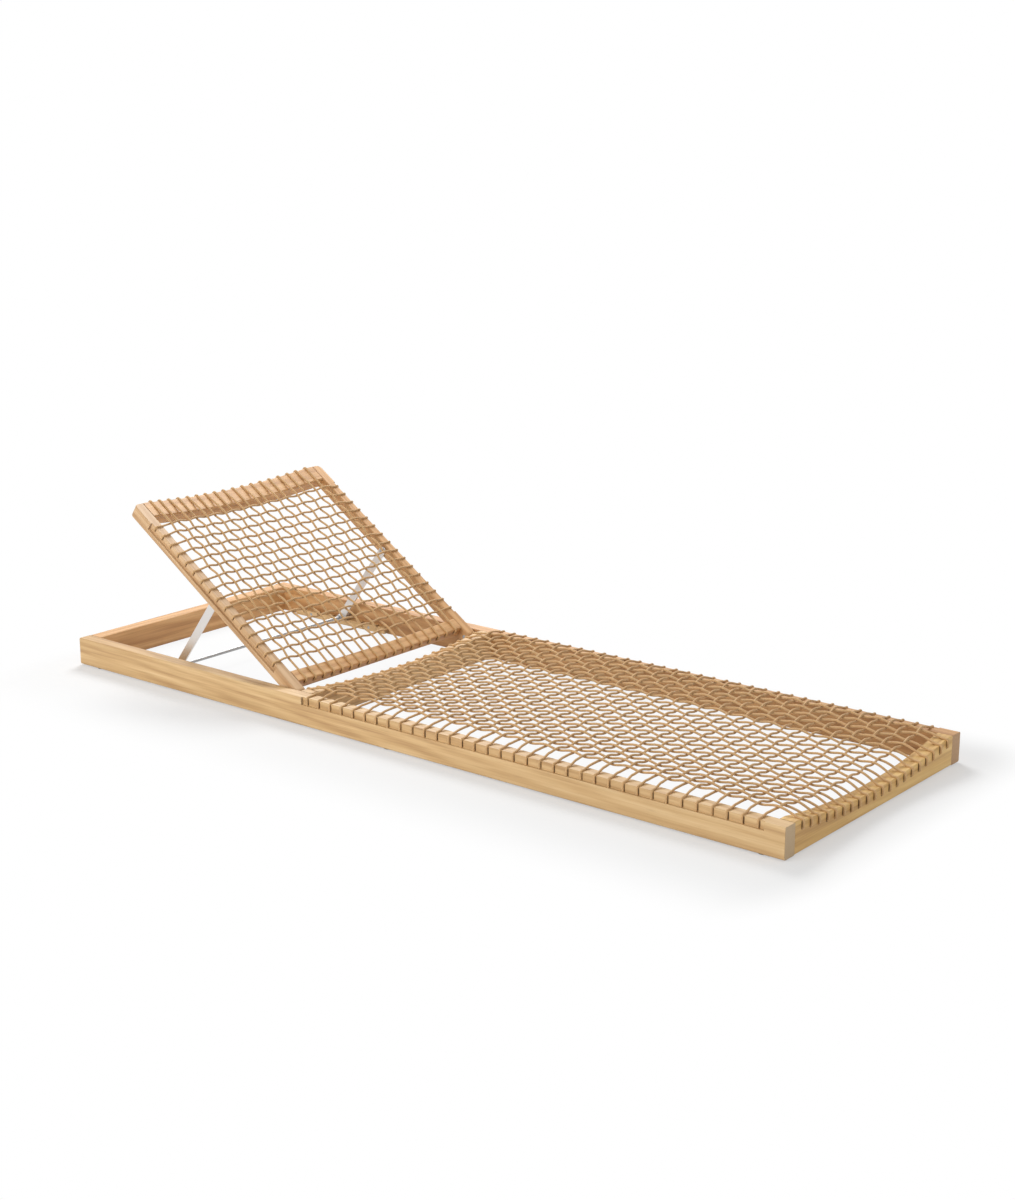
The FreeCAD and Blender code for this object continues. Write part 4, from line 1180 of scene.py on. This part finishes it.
@dataclass(frozen=True)
class Fade:
    """How the floor goes from shaded beside the lounger to plain white.

    Attributes:
        half_length: Middle to the lounger's ends.
        half_width: Middle to its sides.
        inset: How far inside them the floor under the lounger begins.
        start: Distance from the lounger where the floor starts to whiten.
        end: Distance where it is white.
        behind: How much faster it whitens on the sitter's left.
        ends: How much faster it whitens past the lounger's ends.
        beside: White's share right beside the lounger.
        under: White's share under it.
    """

    half_length: float = 1.0
    half_width: float = 0.35
    inset: float = 0.02
    start: float = 0.08
    end: float = 0.33
    behind: float = 1.5
    ends: float = 2.2
    beside: float = 0.42
    under: float = 0.90

    def share(self, shader: Shader, place: bpy.types.NodeSocket) -> bpy.types.NodeSocket:
        """White's share of the floor.

        In words: the distance from the lounger's outline, smoothed between its start and
        end, or the share under the lounger where that is more.

        Args:
            shader: The material's nodes.
            place: The floor's own coordinates.

        Returns:
            The socket with the share.
        """
        split = shader.node("SeparateXYZ")
        shader.tree.links.new(place, split.inputs[0])
        along = shader.math("ABSOLUTE", split.outputs["X"])
        across = split.outputs["Y"]
        front = shader.math("MULTIPLY_ADD", across, -1.0, -self.half_width)
        back = shader.math("MULTIPLY_ADD", across, self.behind, -self.behind * self.half_width)
        side = shader.math("MAXIMUM", shader.math("MAXIMUM", front, back), 0.0)
        past = shader.math("MULTIPLY_ADD", along, self.ends, -self.ends * self.half_length)
        end = shader.math("MAXIMUM", past, 0.0)
        squares = shader.math("ADD", shader.math("MULTIPLY", side, side), shader.math("MULTIPLY", end, end))
        far = shader.node("MapRange", interpolation_type="SMOOTHSTEP")
        shader.feed(far, Value=shader.math("SQRT", squares), From_Min=self.start, From_Max=self.end,
                    To_Min=self.beside, To_Max=1.0)
        within = shader.math("MULTIPLY",
                             shader.math("LESS_THAN", along, self.half_length - self.inset),
                             shader.math("LESS_THAN", shader.math("ABSOLUTE", across),
                                         self.half_width - self.inset))
        return shader.math("MAXIMUM", far.outputs["Result"], shader.math("MULTIPLY", within, self.under))


FADE = Fade()

# Factors on the colour of a piece's teak, one of which is painted shade
PLAIN = (1.0, 1.0, 1.0)
OLIVE = (1.10, 1.06, 0.80)
RUDDY = (1.02, 0.88, 0.78)
# Darker, redder factor for the far side rail: painted shade of the net over its inner face
SHADED_RAIL_TINT = (0.90, 0.74, 0.62)
ROSY = (0.97, 0.95, 1.06)

BOARDS: dict[str, Board] = {
    "side_rail_right": Board(Grain.ALONG_X, 0.13, PLAIN),
    "side_rail_left": Board(Grain.ALONG_X, 0.57, SHADED_RAIL_TINT),
    "head_rail": Board(Grain.ALONG_Y, 0.31, RUDDY),
    "middle_rail": Board(Grain.ALONG_Y, 0.77, PLAIN),
    "foot_rail": Board(Grain.ALONG_Y, 1.19, OLIVE),
    "rack_right": Board(Grain.ALONG_X, 1.41, PLAIN),
    "rack_left": Board(Grain.ALONG_X, 1.63, PLAIN),
    "back_stile_right": Board(Grain.ALONG_SLOPE, 1.87, ROSY),
    "back_stile_left": Board(Grain.ALONG_SLOPE, 2.03, RUDDY),
    "back_bottom_rail": Board(Grain.ACROSS_SLOPE, 2.29, RUDDY),
    "back_top_rail": Board(Grain.ACROSS_SLOPE, 2.51, RUDDY),
}


# Scene


@dataclass(frozen=True)
class Lamp:
    """A soft square light.

    Attributes:
        name: Name of the light.
        place: Where it hangs.
        target: What it points at.
        size: Length of its side.
        power: Watts.
    """

    name: str
    place: tuple[float, float, float]
    target: tuple[float, float, float]
    size: float
    power: float

    def hang(self) -> bpy.types.Object:
        """Puts the light in the scene.

        Returns:
            The light's object.
        """
        data = bpy.data.lights.new(self.name, "AREA")
        data.shape = "SQUARE"
        data.size = self.size
        data.energy = self.power
        made = bpy.data.objects.new(self.name, data)
        made.location = self.place
        way = Vector(self.target) - Vector(self.place)
        made.rotation_euler = way.to_track_quat("-Z", "Y").to_euler()
        bpy.context.scene.collection.objects.link(made)
        return made


# Strength of the sky's light, where the camera doesn't see it
SKY = 0.50
# Middle to the edges of the floor
FLOOR_HALF = 14.0
LAMPS = (
    Lamp("key", (-0.6, -4.2, 1.6), (-0.2, 0.0, 0.1), size=2.4, power=110.0),
    Lamp("top", (-1.9, 1.8, 2.8), (-0.2, 0.0, 0.0), size=1.6, power=115.0),
    Lamp("side", (3.6, -0.2, 1.1), (0.9, 0.0, 0.05), size=1.6, power=16.0),
)


@dataclass(frozen=True)
class Shot:
    """The photo's viewpoint.

    Attributes:
        place: Where the camera stands.
        azimuth: Its turn round the vertical, in degrees.
        elevation: Its angle above level, in degrees.
        lens: Focal length in millimetres.
        sensor: Long side of the sensor in millimetres.
        nearest: Distance from which things are shown.
        farthest: Distance up to which they are.
    """

    place: tuple[float, float, float] = (2.73744, -3.32091, 1.41396)
    azimuth: float = 38.896
    elevation: float = 15.021
    lens: float = 59.668
    sensor: float = 36.0
    nearest: float = 0.05
    farthest: float = 60.0

    def set_up(self) -> None:
        """Makes the scene's camera."""
        data = bpy.data.cameras.new("camera")
        data.lens = self.lens
        data.sensor_width = self.sensor
        data.clip_start, data.clip_end = self.nearest, self.farthest
        data.dof.use_dof = False
        made = bpy.data.objects.new("camera", data)
        made.location = self.place
        made.rotation_euler = (math.radians(90 - self.elevation), 0.0, math.radians(self.azimuth))
        bpy.context.scene.collection.objects.link(made)
        bpy.context.scene.camera = made


class Lounger:
    """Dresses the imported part."""

    def __init__(self, nodes: dict[str, bpy.types.Object], palette: Palette) -> None:
        """Keeps what it works on.

        Args:
            nodes: The part's own pieces by name.
            palette: Where materials come from.
        """
        self.nodes = nodes
        self.palette = palette

    @staticmethod
    def paint(piece: bpy.types.Object, material: bpy.types.Material) -> None:
        """Gives a piece one material.

        Args:
            piece: The piece.
            material: Its material.
        """
        piece.data.materials.clear()
        piece.data.materials.append(material)

    def dress_wood(self) -> None:
        """Gives every wooden piece its teak."""
        for name, board in BOARDS.items():
            self.paint(self.nodes[name], self.palette.wood(board))

    def dress_hardware(self) -> None:
        """Gives metal and plastic pieces their finish."""
        aluminium = self.palette.metal(
            "arm_aluminium", colour=(0.72, 0.69, 0.66), roughness=0.38, stretch=(260.0, 4.0, 260.0))
        steel = self.palette.metal(
            "satin_steel", colour=(0.40, 0.405, 0.41), roughness=0.50, stretch=(40.0, 3.0, 40.0))
        brass = self.palette.metal(
            "insert_brass", colour=(0.66, 0.50, 0.24), roughness=0.35, stretch=(200.0, 200.0, 200.0))
        nylon = self.palette.plain("dark_nylon", NYLON_COLOUR, roughness=0.45)
        finishes = {
            "stay_arm_right": aluminium, "stay_arm_left": aluminium, "stay_rod": steel,
            "rod_collars": steel, "stay_bolts": steel, "pivot_pins": steel, "rack_screws": steel,
            "stay_inserts": brass, "stay_washers": nylon, "pivot_bushes": nylon,
            "floor_glides": nylon,
        }
        for name, material in finishes.items():
            self.paint(self.nodes[name], material)

    def weave(self, panel: Panel, seed: int) -> None:
        """Weaves the cords of a panel in place of the part's plain bars.

        Args:
            panel: The panel.
            seed: Start of its small random differences.
        """
        weaver = Weaver(panel, seed)
        radius = weaver.cord.radius
        crosswise = [weaver.crosswise(number) for number in range(panel.cross.count)]
        lengthwise = [weaver.lengthwise(number) for number in range(panel.long.count)]
        pieces = (
            cord_object("woven_%s_crosswise" % panel.name, panel, crosswise, radius),
            cord_object("woven_%s_lengthwise" % panel.name, panel, lengthwise, radius),
            cord_object("woven_%s_links" % panel.name, panel, weaver.links(), radius, LINK_SIDES),
        )
        for piece in pieces:
            self.paint(piece, self.palette.cord())
            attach(piece, panel.body)
        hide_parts(panel.nodes[0])
        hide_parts(panel.nodes[1], panel.nodes[2])
        # Dark patches painted as the shade of the grooves and holes of the cord ends
        slot_shade_patches = slot_shade_mesh("cord_slot_shade_%s" % panel.name, panel, weaver.slots(),
                             radius + weaver.cord.groove_margin)
        self.paint(slot_shade_patches, self.palette.plain("groove_shadow", GROOVE_SHADE_COLOUR, roughness=0.9))
        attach(slot_shade_patches, panel.body)
        LOG.info("%s: %d cords across, %d along", panel.name, len(crosswise), len(lengthwise))


def build_studio(palette: Palette) -> None:
    """Sets the floor, the lights and the sky.

    Args:
        palette: Where the floor's material comes from.
    """
    square = ((-1.0, -1.0, 0.0), (1.0, -1.0, 0.0), (1.0, 1.0, 0.0), (-1.0, 1.0, 0.0))
    floor = new_object("studio_floor", np.array(square) * FLOOR_HALF, [[0, 1, 2, 3]])
    floor.data.materials.append(palette.floor())
    for lamp in LAMPS:
        lamp.hang()
    world = bpy.data.worlds.new("studio")
    world.use_nodes = True
    shader = Shader(world.node_tree)
    strength = shader.math("MULTIPLY_ADD", shader.seen(), 1.0 - SKY, SKY)
    shader.feed(world.node_tree.nodes["Background"], Color=(1.0, 1.0, 1.0, 1.0), Strength=strength)
    bpy.context.scene.world = world


def main() -> None:
    """Builds the whole scene."""
    logging.basicConfig(level=logging.INFO)
    for leftover in list(bpy.data.objects):
        bpy.data.objects.remove(leftover)
    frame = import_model()
    palette = Palette()
    lounger = Lounger(frame["nodes"], palette)
    lounger.dress_wood()
    lounger.dress_hardware()
    lounger.weave(SEAT_PANEL, seed=7)
    lounger.weave(BACK_PANEL, seed=11)
    build_studio(palette)
    Shot().set_up()
    bpy.context.scene.view_settings.view_transform = "Standard"


if __name__ == "__main__":
    main()
